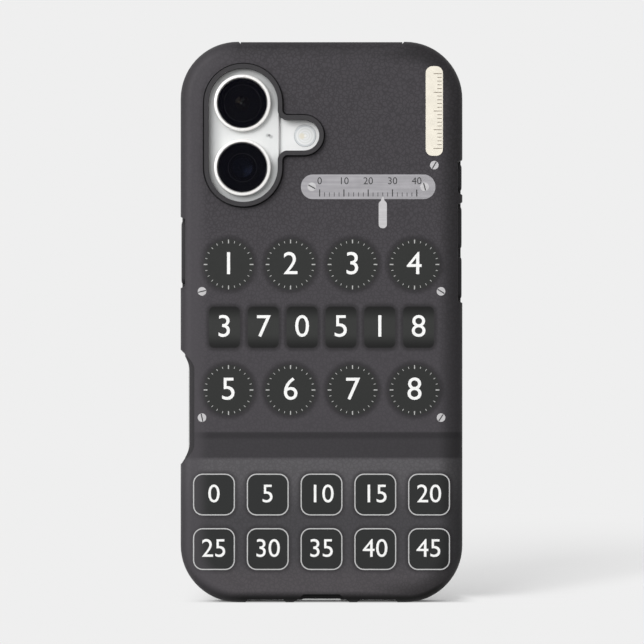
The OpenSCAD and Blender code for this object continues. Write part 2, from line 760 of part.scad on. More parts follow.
// A phone button: its cap in the slot, proud of the frame, and its plunger through the wall.
module phone_button(side, y, l, proud) {
    color("#d9d9d7") upright() at_side(side, y) {
        bar_out(l, button_h, phone_w / 2 - cap_depth, phone_w / 2 + proud);
        translate([cavity_w / 2 - 0.1, 0, mid_z]) rotate([0, 90, 0])
            cylinder(h = frame_wall - cap_depth + 0.1 + lap, d = plunger_d);
    }
}

module action_button() {
    phone_button(right, action_y, action_pad_l - pad_cover, button_proud);
}
module volume_up_button() {
    phone_button(right, volume_up_y, volume_pad_l - pad_cover, button_proud);
}
module volume_down_button() {
    phone_button(right, volume_down_y, volume_pad_l - pad_cover, button_proud);
}
module side_button() {
    phone_button(left, power_y, power_pad_l - pad_cover, button_proud);
}
module camera_control_button() { phone_button(left, control_y, control_l, 0); }

module port_shell() {
    side = port_w - 2 * glass_gap;
    high = port_h - 2 * glass_gap;
    color("#c9cacc") upright() translate([0, -phone_h / 2 + 0.3, mid_z]) rotate([-90, 0, 0])
        difference() {
            linear_extrude(port_depth) rotate([0, 0, 90]) pill(high, side);
            translate([0, 0, -over]) linear_extrude(port_depth + over - port_wall)
                rotate([0, 0, 90]) pill(high - 2 * port_wall, side - 2 * port_wall);
        }
}

module port_tongue() {
    tongue_w = port_w - 2.4;
    start = -phone_h / 2 + 1;
    color("#222326") upright()
        box([-tongue_w / 2, start, mid_z - tongue_t / 2],
            [tongue_w / 2, -phone_h / 2 + 0.3 + port_depth - port_wall, mid_z + tongue_t / 2]);
}

module lower_edge_screws() {
    color("#a9aaac") upright() for (s = [-1, 1])
        translate([s * screw_offset, -phone_h / 2 + 0.2, mid_z]) rotate([-90, 0, 0])
            difference() {
                union() {
                    cylinder(h = 0.8, d = screw_d);
                    cylinder(h = frame_wall - 0.2, d = screw_d / 2 - glass_gap);
                }
                for (turn = [0, 90]) rotate([0, 0, turn])
                    cube([screw_d * 0.6, 0.25, 0.6], center = true);
            }
}

// ---- phone, inside ----

module mid_plate() {
    hole = 0.4;
    color("#9fa3a6") upright() difference() {
        plate(cavity_w - 2 * glass_gap, cavity_h - 2 * glass_gap, cavity_r - glass_gap,
              mid_low, mid_high);
        box([lens_x - main_body / 2 - hole, low_lens_y - wide_body / 2 - hole, mid_low - over],
            [lens_x + main_body / 2 + hole, lens_y + main_body / 2 + hole, mid_high + over]);
        column(flash_x, flash_y, flash_d, mid_low - over, mid_high - 0.2);
        for (p = board_screw_points) column(p[0], p[1], 1.2, mid_low - over, mid_high + over);
    }
}

board_screw_points = [for (x = [board_x + screw_inset, board_x + board_w - screw_inset],
                          y = [board_y + screw_inset, board_y + board_l - screw_inset]) [x, y]];

battery_high = mid_low - adhesive_t;

module battery() {
    color("#2b2c2e") upright() translate([battery_x + battery_w / 2, battery_y + battery_l / 2, 0])
        slab(battery_w, battery_l, 2, battery_high - battery_t, battery_high, 0.8, 0.8);
}

module battery_adhesive() {
    strip_w = 6;
    count = 3;
    color("#e6e6e2") upright() for (i = [0 : count - 1])
        box([battery_x + battery_w * (i + 0.5) / count - strip_w / 2, battery_y + 4, battery_high],
            [battery_x + battery_w * (i + 0.5) / count + strip_w / 2,
             battery_y + battery_l - 4, mid_low]);
}

module logic_board() {
    color("#1f4d3a") upright() difference() {
        box([board_x, board_y, board_low], [board_x + board_w, board_y + board_l, mid_low]);
        for (p = board_screw_points) column(p[0], p[1], 1.3, board_low - over, mid_low + over);
    }
}

can_count = 3;
can_from_end = 5;
can_between = 2;
can_l = (board_l - 2 * can_from_end - (can_count - 1) * can_between) / can_count;
can_side = 1.2;

module each_can() {
    for (i = [0 : can_count - 1])
        translate([board_x + can_side, board_y + can_from_end + i * (can_l + can_between), 0])
            children();
}

module chips() {
    color("#303236") upright() each_can()
        box([chip_inset, chip_end_gap, board_low - can_h + 0.4],
            [board_w - 2 * can_side - chip_inset, can_l - chip_end_gap, board_low]);
}

module shield_cans() {
    w = board_w - 2 * can_side;
    color("#bfc1c2") upright() each_can() difference() {
        box([0, 0, board_low - can_h], [w, can_l, board_low]);
        box([can_sheet, can_sheet, board_low - can_h + can_sheet],
            [w - can_sheet, can_l - can_sheet, board_low + over]);
    }
}

module annulus(in_r, out_r, low, high) {
    translate([0, 0, low]) difference() {
        cylinder(h = high - low, r = out_r);
        translate([0, 0, -over]) cylinder(h = high - low + 2 * over, r = in_r);
    }
}

module charging_coil() {
    color("#b87333") upright() annulus(coil_in_r, coil_out_r, coil_high - coil_t, coil_high);
}

module coil_ferrite() {
    color("#4b4d50") upright() annulus(coil_in_r - 0.5, coil_out_r + 0.5,
        coil_high - coil_t - ferrite_t, coil_high - coil_t);
}

module magnet_ring() {
    gap_angle = 1.5;
    step = 360 / magnet_count;
    color("#a7a9ab") upright() for (i = [0 : magnet_count - 1])
        rotate([0, 0, i * step + gap_angle / 2]) translate([0, 0, coil_high - coil_t - ferrite_t])
            rotate_extrude(angle = step - gap_angle)
                translate([magnet_in_r, 0]) square([magnet_out_r - magnet_in_r, coil_t + ferrite_t]);
}

barrel_gap = 0.1;
sensor_high = stack_low + sensor_t;

// Camera body: a square lower part, a round upper part in the plateau and a neck in the ring.
module camera_body(y, side, barrel_d) {
    shoulder = coil_high - 0.1;
    round_top = hollow_top - 0.1;
    color("#2e2f33") upright() translate([lens_x, y, 0]) difference() {
        union() {
            box([-side / 2, -side / 2, sensor_high], [side / 2, side / 2, shoulder]);
            column(0, 0, min(side, 2 * hollow_r) - 0.4, shoulder - lap, round_top);
            column(0, 0, 2 * camera_neck_r, round_top - lap, plateau_top);
        }
        column(0, 0, barrel_d + 2 * barrel_gap, sensor_high - over, plateau_top + over);
    }
}

// The moving lens barrel, with a hollow front that shows its glass.
module lens_barrel(y, barrel_d, travel) {
    front = window_low - travel - 0.3;
    color("#1a1b1f") upright() translate([lens_x, y, 0]) difference() {
        column(0, 0, barrel_d, sensor_high + 0.6, front);
        column(0, 0, barrel_d * 0.6, front - 1, front + over);
    }
}

module sensor(y, side) {
    half = side / 2;
    color("#2f6b4f") upright() translate([lens_x, y, 0]) {
        box([-half, -half, stack_low], [half, half, sensor_high - 0.3]);
        box([-half, -half, sensor_high - 0.3 - lap], [half, -half + 1, sensor_high]);
        box([-half, half - 1, sensor_high - 0.3 - lap], [half, half, sensor_high]);
        box([-2.4, -1.8, sensor_high - 0.3 - lap], [2.4, 1.8, sensor_high]);
    }
}

module main_camera_body() { camera_body(lens_y, main_body, main_barrel_d); }
module main_lens_barrel() { lens_barrel(lens_y, main_barrel_d, main_travel); }
module main_sensor() { sensor(lens_y, main_body - 1); }
module ultrawide_camera_body() { camera_body(low_lens_y, wide_body, wide_barrel_d); }
module ultrawide_lens_barrel() { lens_barrel(low_lens_y, wide_barrel_d, wide_travel); }
module ultrawide_sensor() { sensor(low_lens_y, wide_body - 1); }

// A front module behind the display: its box and the barrel that looks through the display.
module front_module(x, w, barrel_d) {
    half_h = 3;
    color("#2e2f33") upright() translate([x, island_y, 0]) {
        box([-w / 2, -half_h, stack_low], [w / 2, half_h, stack_low + front_depth]);
        column(0, 0, barrel_d, cover_glass_t, stack_low + lap);
    }
}

module front_camera() { front_module(island_w / 4, 7.5, 3.2); }
module face_sensor() { front_module(-island_w / 4, 8.5, 3.6); }

module haptic_housing() {
    color("#b4b6b8") upright() translate([haptic_x, lower_y, stack_low]) difference() {
        box([0, 0, 0], [haptic_l, haptic_w, haptic_h]);
        box([haptic_wall, haptic_wall, haptic_wall],
            [haptic_l - haptic_wall, haptic_w - haptic_wall, haptic_h - haptic_wall]);
    }
}

// Space between the mass and the housing's end wall, which the spring shares.
end_room = (haptic_l - 2 * haptic_wall - mass_l) / 2;

module haptic_mass() {
    clear = 0.3;
    color("#8d8f92") upright() translate([haptic_x + haptic_wall + end_room, lower_y, stack_low])
        box([0, haptic_wall + clear, haptic_wall + clear],
            [mass_l, haptic_w - haptic_wall - clear, haptic_h - haptic_wall - clear]);
}

// A leaf spring folded over twice at each end of the mass.
module haptic_springs() {
    leaf = 0.25;
    reach = end_room - mass_travel - 0.15;
    fold = (reach - leaf) / 2;
    low = haptic_wall + 0.4;
    high = haptic_h - haptic_wall - 0.4;
    near = haptic_wall + 0.6;
    far = haptic_w - haptic_wall - 0.6;
    color("#d0d2d4") upright() for (s = [0, 1])
        translate([haptic_x + s * haptic_l, lower_y, stack_low]) mirror([s, 0, 0])
            translate([haptic_wall, 0, 0]) {
                for (i = [0 : 2])
                    box([i * fold, near, low], [i * fold + leaf, far, high]);
                box([0, near, low], [fold + leaf, near + leaf, high]);
                box([fold, far - leaf, low], [2 * fold + leaf, far, high]);
            }
}

module loudspeaker() {
    color("#26272a") upright() translate([speaker_x, lower_y, stack_low]) difference() {
        box([0, 0, 0], [speaker_l, speaker_w, haptic_h]);
        translate([speaker_l / 2, speaker_w / 2, haptic_h - 0.8]) cylinder(h = over, d = 9);
        box([2, -over, haptic_h / 2 - 0.6], [speaker_l - 2, 3, haptic_h / 2 + 0.6]);
    }
}

module earpiece_speaker() {
    half = 7.5;
    depth = 2.2;
    color("#26272a") upright()
        box([-half, cavity_h / 2 - 0.1 - depth, stack_low],
            [half, cavity_h / 2 - 0.1, mid_low - stack_gap]);
}

module lower_microphone() {
    x = -sound_offset;
    color("#b9b9b4") upright() difference() {
        box([x - 1.5, -cavity_h / 2 + 0.1, mid_z - 1], [x + 1.5, -cavity_h / 2 + 1.6, mid_z + 1]);
        translate([x, -cavity_h / 2, mid_z]) rotate([-90, 0, 0]) cylinder(h = 0.8, d = 0.6);
    }
}

module display_flex() {
    x = board_x + flex_inset;
    y = board_y - flex_step;
    high = board_low + 0.3;
    color("#c58b2a") upright() {
        box([x, y - flex_w, display_back], [x + flex_w, y, display_back + flex_t]);
        box([x, y - flex_t, display_back], [x + flex_w, y, high]);
        box([x, y - flex_t, high - flex_t], [x + flex_w, board_y, high]);
    }
}

module port_flex() {
    w = port_flex_w;
    back = -phone_h / 2 + 0.3 + port_depth;
    turn_y = battery_y - 0.4;
    cross_y = turn_y - port_flex_w * 0.8;
    x = board_x + port_flex_inset;
    high = mid_z + 1.2;
    color("#c58b2a") upright() {
        box([-w / 2, back, high - flex_t], [w / 2, turn_y, high]);
        box([-w / 2, cross_y, high - flex_t], [x + w, turn_y, high]);
        box([x, cross_y, high - flex_t], [x + w, board_y, high]);
    }
}

module battery_flex() {
    y = battery_y + battery_l * 0.6;
    color("#c58b2a") upright()
        box([battery_x + battery_w, y - 1, board_low - flex_t], [board_x + 1.1, y + 1, board_low]);
}

// Bracket on the cavity wall with a dome switch in front of each plunger.
module button_switches() {
    sheet = 0.4;
    color("#c3c4c6") upright()
        for (b = [[right, action_y], [right, volume_up_y], [right, volume_down_y],
                  [left, power_y], [left, control_y]])
            at_side(b[0], b[1]) translate([cavity_w / 2 - switch_room, 0, mid_z - switch_h / 2]) {
                box([0, -switch_l / 2, 0], [sheet, switch_l / 2, switch_h]);
                for (s = [-1, 1])
                    box([0, s * (switch_l / 2 - sheet / 2) - sheet / 2, 0],
                        [switch_room, s * (switch_l / 2 - sheet / 2) + sheet / 2, switch_h]);
                translate([sheet - lap, 0, switch_h / 2]) rotate([0, 90, 0])
                    cylinder(h = 0.35, d = 0.9 * switch_h);
            }
}

module internal_screws() {
    color("#8f9193") upright() for (p = board_screw_points) {
        column(p[0], p[1], 2.2, board_low - 0.4, board_low);
        column(p[0], p[1], 1.1, board_low - lap, mid_high);
    }
}

case_shell();
case_liner();
action_pad();
volume_up_pad();
volume_down_pad();
power_pad();
side_frame();
antenna_bands();
back_glass();
upper_lens_ring();
lower_lens_ring();
upper_lens_window();
lower_lens_window();
flash_window();
flash_leds();
rear_microphone();
cover_glass();
display_panel();
display_gasket();
earpiece_mesh();
action_button();
volume_up_button();
volume_down_button();
side_button();
camera_control_button();
port_shell();
port_tongue();
lower_edge_screws();
mid_plate();
battery();
battery_adhesive();
logic_board();
chips();
shield_cans();
charging_coil();
coil_ferrite();
magnet_ring();
main_camera_body();
main_lens_barrel();
main_sensor();
ultrawide_camera_body();
ultrawide_lens_barrel();
ultrawide_sensor();
front_camera();
face_sensor();
haptic_housing();
haptic_mass();
haptic_springs();
loudspeaker();
earpiece_speaker();
lower_microphone();
display_flex();
port_flex();
battery_flex();
button_switches();
internal_screws();
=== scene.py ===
import math
import bpy
import bmesh
from mathutils import Matrix, Vector


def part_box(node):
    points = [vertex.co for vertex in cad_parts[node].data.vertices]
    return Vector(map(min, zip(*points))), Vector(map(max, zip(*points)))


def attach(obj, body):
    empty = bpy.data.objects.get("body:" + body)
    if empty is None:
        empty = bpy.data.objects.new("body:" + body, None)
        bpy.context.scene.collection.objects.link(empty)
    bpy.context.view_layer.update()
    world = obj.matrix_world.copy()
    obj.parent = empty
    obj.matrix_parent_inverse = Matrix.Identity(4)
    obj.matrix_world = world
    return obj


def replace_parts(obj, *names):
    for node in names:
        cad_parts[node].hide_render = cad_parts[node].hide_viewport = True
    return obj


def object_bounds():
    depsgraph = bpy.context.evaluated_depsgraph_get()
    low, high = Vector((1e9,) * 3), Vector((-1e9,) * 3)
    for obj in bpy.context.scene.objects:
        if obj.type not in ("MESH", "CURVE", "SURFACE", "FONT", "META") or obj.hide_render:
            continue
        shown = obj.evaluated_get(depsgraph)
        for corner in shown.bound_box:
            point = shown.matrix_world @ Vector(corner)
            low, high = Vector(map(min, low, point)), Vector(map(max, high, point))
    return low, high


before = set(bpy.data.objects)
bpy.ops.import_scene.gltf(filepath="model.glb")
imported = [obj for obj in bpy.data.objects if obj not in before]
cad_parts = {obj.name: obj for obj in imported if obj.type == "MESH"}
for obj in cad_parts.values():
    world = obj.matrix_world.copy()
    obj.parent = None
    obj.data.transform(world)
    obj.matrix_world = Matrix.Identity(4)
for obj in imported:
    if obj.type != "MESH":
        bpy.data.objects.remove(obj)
cad_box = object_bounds()

# ---- Studio ----
# A white sweep under soft light from the front left. The phone stands on the floor at the
# origin, with its printed back towards the camera, which looks straight at it.
MM = 0.001
scene = bpy.context.scene
scene.view_settings.view_transform = "Standard"
ROOT = "phone_and_case"
IMAGE_PIXELS = 644
PIXELS_PER_MM = 3.716
CAMERA_DISTANCE = 900 * MM
CAMERA_X = 0.13 * MM
CENTRE_HEIGHT = (cad_box[0][2] + cad_box[1][2]) / 2
SENSOR_MM = 36

camera_data = bpy.data.cameras.new("camera")
camera_data.sensor_width = SENSOR_MM
camera_data.lens = PIXELS_PER_MM * CAMERA_DISTANCE / MM * SENSOR_MM / IMAGE_PIXELS
camera = bpy.data.objects.new("camera", camera_data)
scene.collection.objects.link(camera)
camera.location = (CAMERA_X, -CAMERA_DISTANCE, CENTRE_HEIGHT)
camera.rotation_euler = (math.radians(90), 0, 0)
scene.camera = camera

KEY_POWER = 9.0
KEY_SIZE = 0.6
KEY_PLACE = (-0.52, -1.12, 0.52)
lamp_data = bpy.data.lights.new("key", "AREA")
lamp_data.energy = KEY_POWER
lamp_data.size = KEY_SIZE
lamp = bpy.data.objects.new("key", lamp_data)
lamp.location = KEY_PLACE
lamp.rotation_euler = (-Vector(KEY_PLACE)).to_track_quat("-Z", "Y").to_euler()
scene.collection.objects.link(lamp)


def new_node(kind, *values):
    """Node in the tree of the first socket among some values."""
    tree = next(value.id_data for value in values if isinstance(value, bpy.types.NodeSocket))
    return tree.nodes.new(kind)


def give(socket, value):
    """Links a socket to another one or sets it to a number or a colour."""
    if isinstance(value, bpy.types.NodeSocket):
        socket.id_data.links.new(value, socket)
    else:
        socket.default_value = (*value, 1) if socket.type == "RGBA" else value


def calc(operation, *values):
    """Math node on sockets or numbers; gives back its result."""
    node = new_node("ShaderNodeMath", *values)
    node.operation = operation
    for socket, value in zip(node.inputs, values):
        give(socket, value)
    return node.outputs[0]


def times(first, *others):
    """Product of sockets and numbers."""
    for value in others:
        first = calc("MULTIPLY", first, value)
    return first


def minus(first, second):
    """Difference of sockets or numbers."""
    return calc("SUBTRACT", first, second)


def soft_step(value, start, end, low=0.0, high=1.0):
    """Runs smoothly from low, at start, to high, at end."""
    node = new_node("ShaderNodeMapRange", value)
    node.interpolation_type = "SMOOTHSTEP"
    if start > end:
        start, end, low, high = end, start, high, low
    for socket, given in (("Value", value), ("From Min", start), ("From Max", end),
                          ("To Min", low), ("To Max", high)):
        give(node.inputs[socket], given)
    return node.outputs["Result"]


def seen_directly(tree):
    """One for camera, mirror and see-through rays, and zero for the light on the object."""
    path = tree.nodes.new("ShaderNodeLightPath")
    return calc("MAXIMUM", path.outputs["Is Camera Ray"],
                calc("MAXIMUM", path.outputs["Is Glossy Ray"],
                     path.outputs["Is Transmission Ray"]))


# The room is dimmer to the right and overhead; a camera sees the plain backdrop in its place.
BACKGROUND = (0.863, 0.863, 0.863, 1)
ROOM_LIGHT = 1.25
ROOM_LEFT, ROOM_RIGHT = 1.15, 0.6
ROOM_LEVEL, ROOM_TOP = 1.0, 0.7
world = bpy.data.worlds.new("studio")
scene.world = world
world.use_nodes = True
tree = world.node_tree
tree.nodes.clear()
sky = tree.nodes.new("ShaderNodeSeparateXYZ")
tree.links.new(tree.nodes.new("ShaderNodeTexCoord").outputs["Generated"], sky.inputs[0])
room_light = times(soft_step(sky.outputs["X"], -0.5, 0.9, ROOM_LEFT, ROOM_RIGHT),
                   soft_step(sky.outputs["Z"], 0.1, 0.9, ROOM_LEVEL, ROOM_TOP), ROOM_LIGHT)
room = tree.nodes.new("ShaderNodeBackground")
tree.links.new(room_light, room.inputs["Strength"])
room.inputs["Color"].default_value = (1, 1, 1, 1)
backdrop = tree.nodes.new("ShaderNodeBackground")
backdrop.inputs["Color"].default_value = BACKGROUND
choice = tree.nodes.new("ShaderNodeMixShader")
tree.links.new(seen_directly(tree), choice.inputs["Fac"])
tree.links.new(room.outputs[0], choice.inputs[1])
tree.links.new(backdrop.outputs[0], choice.inputs[2])
output = tree.nodes.new("ShaderNodeOutputWorld")
tree.links.new(choice.outputs[0], output.inputs["Surface"])


def coordinates(tree):
    """Object coordinates as a vector and as x, y and z in metres."""
    source = tree.nodes.new("ShaderNodeTexCoord").outputs["Object"]
    split = tree.nodes.new("ShaderNodeSeparateXYZ")
    tree.links.new(source, split.inputs[0])
    return source, split.outputs["X"], split.outputs["Y"], split.outputs["Z"]


def length(dx, dz):
    """Length of a flat vector."""
    return calc("SQRT", calc("ADD", times(dx, dx), times(dz, dz)))


def put(bm, name, material, body=ROOT, smooth=30):
    """Turns a bmesh into a piece of the scene that rides on a body; smooth is the largest
    angle in degrees that is still shaded as one surface."""
    mesh = bpy.data.meshes.new(name)
    bm.to_mesh(mesh)
    bm.free()
    mesh.polygons.foreach_set("use_smooth", [True] * len(mesh.polygons))
    mesh.set_sharp_from_angle(angle=math.radians(smooth))
    piece = bpy.data.objects.new(name, mesh)
    scene.collection.objects.link(piece)
    mesh.materials.append(material)
    if body:
        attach(piece, body)
    return piece


# The floor shows the phone's shadow behind it and to its right, and is plain white elsewhere.
# The shadow's stretches are each given as where it is full and where it has gone.
FLOOR_SIZE = 6.0
FLOOR_COLOUR = (0.90, 0.90, 0.90, 1)
FLOOR_BOUNCE = (0.25, 0.25, 0.25, 1)
FLOOR_LIT = 0.94
SHADOW_SHARE = 0.9
SHADOW_BACK = 30 * MM, 4 * MM
SHADOW_UNDER = 3 * MM, -5 * MM
SHADOW_SIDE = 36 * MM, 44 * MM
SHADOW_REACH = 150 * MM, 420 * MM
SHADOW_LEFT = -26 * MM, -40 * MM
SHADOW_RIGHT = 34 * MM, 64 * MM
SHADOW_SLANT = 0.5
floor_bm = bmesh.new()
bmesh.ops.create_grid(floor_bm, x_segments=1, y_segments=1, size=FLOOR_SIZE / 2)
floor_material = bpy.data.materials.new("floor")
floor_material.use_nodes = True
tree = floor_material.node_tree
tree.nodes.clear()
source, x, y, z = coordinates(tree)
share = calc("MAXIMUM", soft_step(y, *SHADOW_BACK, 1.0, 0.0),
             times(soft_step(y, *SHADOW_UNDER, 1.0, 0.0),
                   soft_step(x, *SHADOW_SIDE, 1.0, 0.0)))
slant = minus(x, times(y, SHADOW_SLANT))
share = times(share, soft_step(length(x, y), *SHADOW_REACH, 1.0, 0.0),
              soft_step(x, *SHADOW_LEFT, 1.0, 0.0),
              soft_step(slant, *SHADOW_RIGHT, 1.0, 0.0), SHADOW_SHARE)
rest_of_light = minus(BACKGROUND[0], times(share, FLOOR_LIT))
plain = tree.nodes.new("ShaderNodeEmission")
tree.links.new(calc("DIVIDE", rest_of_light, minus(1.0, share)), plain.inputs["Strength"])
lit = tree.nodes.new("ShaderNodeBsdfDiffuse")
lit.inputs["Color"].default_value = FLOOR_COLOUR
seen = tree.nodes.new("ShaderNodeMixShader")
tree.links.new(share, seen.inputs["Fac"])
tree.links.new(plain.outputs[0], seen.inputs[1])
tree.links.new(lit.outputs[0], seen.inputs[2])
bounce = tree.nodes.new("ShaderNodeBsdfDiffuse")
bounce.inputs["Color"].default_value = FLOOR_BOUNCE
surface = tree.nodes.new("ShaderNodeMixShader")
tree.links.new(seen_directly(tree), surface.inputs["Fac"])
tree.links.new(bounce.outputs[0], surface.inputs[1])
tree.links.new(seen.outputs[0], surface.inputs[2])
output = tree.nodes.new("ShaderNodeOutputMaterial")
tree.links.new(surface.outputs[0], output.inputs["Surface"])
put(floor_bm, "floor", floor_material, body=None)

# ---- Side frame ----
# Milled aluminium band round the phone, blasted fine and anodised silver white. Plastic bands
# split it for the aerials, and its slots hold the buttons.


def new_material(name, colour, roughness, metallic=0.0, specular=0.5):
    """Principled material; gives back the material, its node tree and its shader."""
    made = bpy.data.materials.new(name)
    made.use_nodes = True
    shader = made.node_tree.nodes["Principled BSDF"]
    shader.inputs["Base Color"].default_value = (*colour, 1)
    shader.inputs["Roughness"].default_value = roughness
    shader.inputs["Metallic"].default_value = metallic
    shader.inputs["Specular IOR Level"].default_value = specular
    return made, made.node_tree, shader


def feed(value, shader, socket="Base Color"):
    """Gives a value to a socket of the shader."""
    give(shader.inputs[socket], value)


def mix(factor, first, second):
    """Colour mix of sockets or colours."""
    node = new_node("ShaderNodeMix", factor)
    node.data_type = "RGBA"
    for socket, value in ((0, factor), (6, first), (7, second)):
        give(node.inputs[socket], value)
    return node.outputs[2]


def noise(source, scale, detail=3.0, roughness=0.5):
    """Noise value on the given coordinates; scale is in cells per metre."""
    node = new_node("ShaderNodeTexNoise", source)
    for socket, value in (("Scale", scale), ("Detail", detail), ("Roughness", roughness),
                          ("Vector", source)):
        give(node.inputs[socket], value)
    return node.outputs["Fac"]


def bump(shader, height, distance, strength=1.0):
    """Fine relief of the surface; distance is in metres."""
    node = new_node("ShaderNodeBump", height)
    for socket, value in (("Distance", distance), ("Strength", strength), ("Height", height)):
        give(node.inputs[socket], value)
    feed(node.outputs["Normal"], shader, "Normal")


def finish(name, colour, roughness, grain, metallic=0.0, specular=0.5, vary=0.08, relief=0.004):
    """Plain finish with fine grain: grain is in cells per metre, vary is how much the grain
    darkens the colour, and relief is its height in millimetres."""
    made, tree, shader = new_material(name, colour, roughness, metallic, specular)
    source, x, y, z = coordinates(tree)
    value = noise(source, grain)
    shade = soft_step(value, 0.3, 0.7)
    feed(mix(shade, [c * (1 - vary) for c in colour], colour), shader)
    feed(soft_step(value, 0.3, 0.7, roughness * 1.15, roughness * 0.9), shader, "Roughness")
    bump(shader, value, relief * MM, 0.5)
    return made


def dress(node, material):
    """Gives a CAD part that stays as it is its material."""
    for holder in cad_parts[node].material_slots:
        holder.material = material


MERGE_DISTANCE = 0.002 * MM
FLAT_ANGLE = 0.5
SHARP_ANGLE = 35


def solid_copy(node, name, material, bevel=0.0, body=ROOT, smooth=30):
    """Merged copy of a solid that stands for it, with its sharp edges rounded by bevel."""
    bm = bmesh.new()
    bm.from_mesh(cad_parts[node].data)
    bmesh.ops.remove_doubles(bm, verts=bm.verts, dist=MERGE_DISTANCE)
    bmesh.ops.dissolve_limit(bm, angle_limit=math.radians(FLAT_ANGLE), verts=bm.verts,
                             edges=bm.edges, delimit={"NORMAL"})
    piece = put(bm, name, material, body, smooth)
    if bevel:
        rounding = piece.modifiers.new("rounding", "BEVEL")
        rounding.width = bevel
        rounding.segments = 2
        rounding.limit_method = "ANGLE"
        rounding.angle_limit = math.radians(SHARP_ANGLE)
        rounding.harden_normals = True
    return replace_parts(piece, node)


anodised = finish("anodised_silver", (0.80, 0.80, 0.79), 0.38, 9000, metallic=0.8, vary=0.04)
solid_copy("side_frame", "blasted_frame", anodised, bevel=0.08 * MM)
dress("antenna_bands", finish("band_plastic", (0.70, 0.70, 0.69), 0.5, 3000, vary=0.03))

# ---- Mid plate ----
# Plate milled from aluminium that is pressed into the frame and carries the battery and the
# board. Its faces keep the straight marks of the cutter.


def wave(value, period):
    """Sine of a length, with that period."""
    return calc("SINE", times(value, math.tau / period))


milled, tree, shader = new_material("milled_plate", (0.42, 0.43, 0.44), 0.35, metallic=0.9)
source, x, y, z = coordinates(tree)
CUTTER_STEP = 0.4 * MM
marks = wave(z, CUTTER_STEP)
feed(mix(soft_step(marks, -1, 1), (0.38, 0.39, 0.40), (0.46, 0.47, 0.48)), shader)
bump(shader, marks, 0.004 * MM, 0.5)
dress("mid_plate", milled)

# ---- Battery ----
# Flat lithium pouch in black film, held down by three white stretch-release strips, with a short
# flexible circuit to the board.
dress("battery", finish("pouch_film", (0.028, 0.028, 0.031), 0.42, 500, vary=0.3, relief=0.02))
dress("battery_adhesive", finish("stretch_strip", (0.80, 0.80, 0.77), 0.6, 1500, vary=0.05))
flex_film, tree, shader = new_material("flex_film", (0.50, 0.27, 0.05), 0.3)
source, x, y, z = coordinates(tree)
TRACK_PITCH = 0.8 * MM
tracks = soft_step(wave(x, TRACK_PITCH), 0.1, 0.5)
feed(mix(tracks, (0.52, 0.29, 0.06), (0.36, 0.17, 0.04)), shader)
bump(shader, tracks, 0.01 * MM, 0.5)
for node in ("battery_flex", "display_flex", "port_flex"):
    dress(node, flex_film)

# ---- Logic board ----
# Dark green board with copper tracks under the solder mask, moulded black chips, pressed steel
# shield cans and four screws.
board_mask, tree, shader = new_material("solder_mask", (0.02, 0.075, 0.048), 0.3)
source, x, y, z = coordinates(tree)
BOARD_CELLS = 420
TRACKS_PER_CELL = 6
lanes = tree.nodes.new("ShaderNodeTexVoronoi")
lanes.distance = "MANHATTAN"
give(lanes.inputs["Scale"], BOARD_CELLS)
give(lanes.inputs["Vector"], source)
copper = calc("FRACT", times(lanes.outputs["Distance"], TRACKS_PER_CELL))
copper = soft_step(copper, 0.45, 0.55)
feed(mix(copper, (0.018, 0.065, 0.042), (0.035, 0.12, 0.07)), shader)
bump(shader, copper, 0.01 * MM, 0.6)
dress("logic_board", board_mask)
dress("chips", finish("moulded_chip", (0.03, 0.032, 0.036), 0.55, 12000, vary=0.2))
pressed_steel = finish("pressed_steel", (0.56, 0.56, 0.57), 0.3, 4000, metallic=1.0)
for node in ("shield_cans", "button_switches", "rear_microphone", "lower_microphone"):
    dress(node, pressed_steel)
dress("internal_screws", finish("screw_steel", (0.5, 0.5, 0.5), 0.28, 7000, metallic=1.0))

# ---- Charging coil and magnets ----
# Flat coil of fine copper wire on a ferrite sheet, inside a ring of plated magnets. All of them
# lie behind the back glass round the same axis.
coil_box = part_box("charging_coil")
COIL_Z = (coil_box[0].z + coil_box[1].z) / 2
WIRE_PITCH = 0.5 * MM
wound, tree, shader = new_material("wound_copper", (0.62, 0.27, 0.13), 0.3, metallic=0.9)
source, x, y, z = coordinates(tree)
turns = wave(length(x, minus(z, COIL_Z)), WIRE_PITCH)
feed(mix(soft_step(turns, -1, 0.2), (0.20, 0.07, 0.03), (0.66, 0.30, 0.15)), shader)
bump(shader, turns, 0.08 * MM, 0.8)
dress("charging_coil", wound)
ferrite, tree, shader = new_material("ferrite_sheet", (0.08, 0.08, 0.085), 0.5)
source, x, y, z = coordinates(tree)
FERRITE_CELLS = 600


def cell_edges(source, scale):
    """Distance to the edges of irregular cells; scale is in cells per metre."""
    node = new_node("ShaderNodeTexVoronoi", source)
    node.feature = "DISTANCE_TO_EDGE"
    give(node.inputs["Scale"], scale)
    give(node.inputs["Vector"], source)
    return node.outputs["Distance"]


cracks = soft_step(cell_edges(source, FERRITE_CELLS), 0.0, 0.06)
feed(mix(cracks, (0.03, 0.03, 0.032), (0.085, 0.085, 0.09)), shader)
dress("coil_ferrite", ferrite)
dress("magnet_ring", finish("plated_magnet", (0.45, 0.45, 0.46), 0.25, 5000, metallic=1.0))

# ---- Haptics, speakers and front modules ----
# Sealed modules along the lower edge and behind the top of the display: pressed and sintered
# metal, moulded black boxes and the two front cameras.
for node in ("haptic_housing", "haptic_springs"):
    dress(node, pressed_steel)
dress("haptic_mass", finish("sintered_tungsten", (0.30, 0.30, 0.31), 0.45, 15000, metallic=0.9,
                            vary=0.25))
module_black = finish("module_black", (0.026, 0.026, 0.029), 0.5, 5000, vary=0.2)
for node in ("loudspeaker", "earpiece_speaker", "front_camera", "face_sensor",
             "main_camera_body", "ultrawide_camera_body"):
    dress(node, module_black)
for node in ("main_sensor", "ultrawide_sensor"):
    dress(node, board_mask)

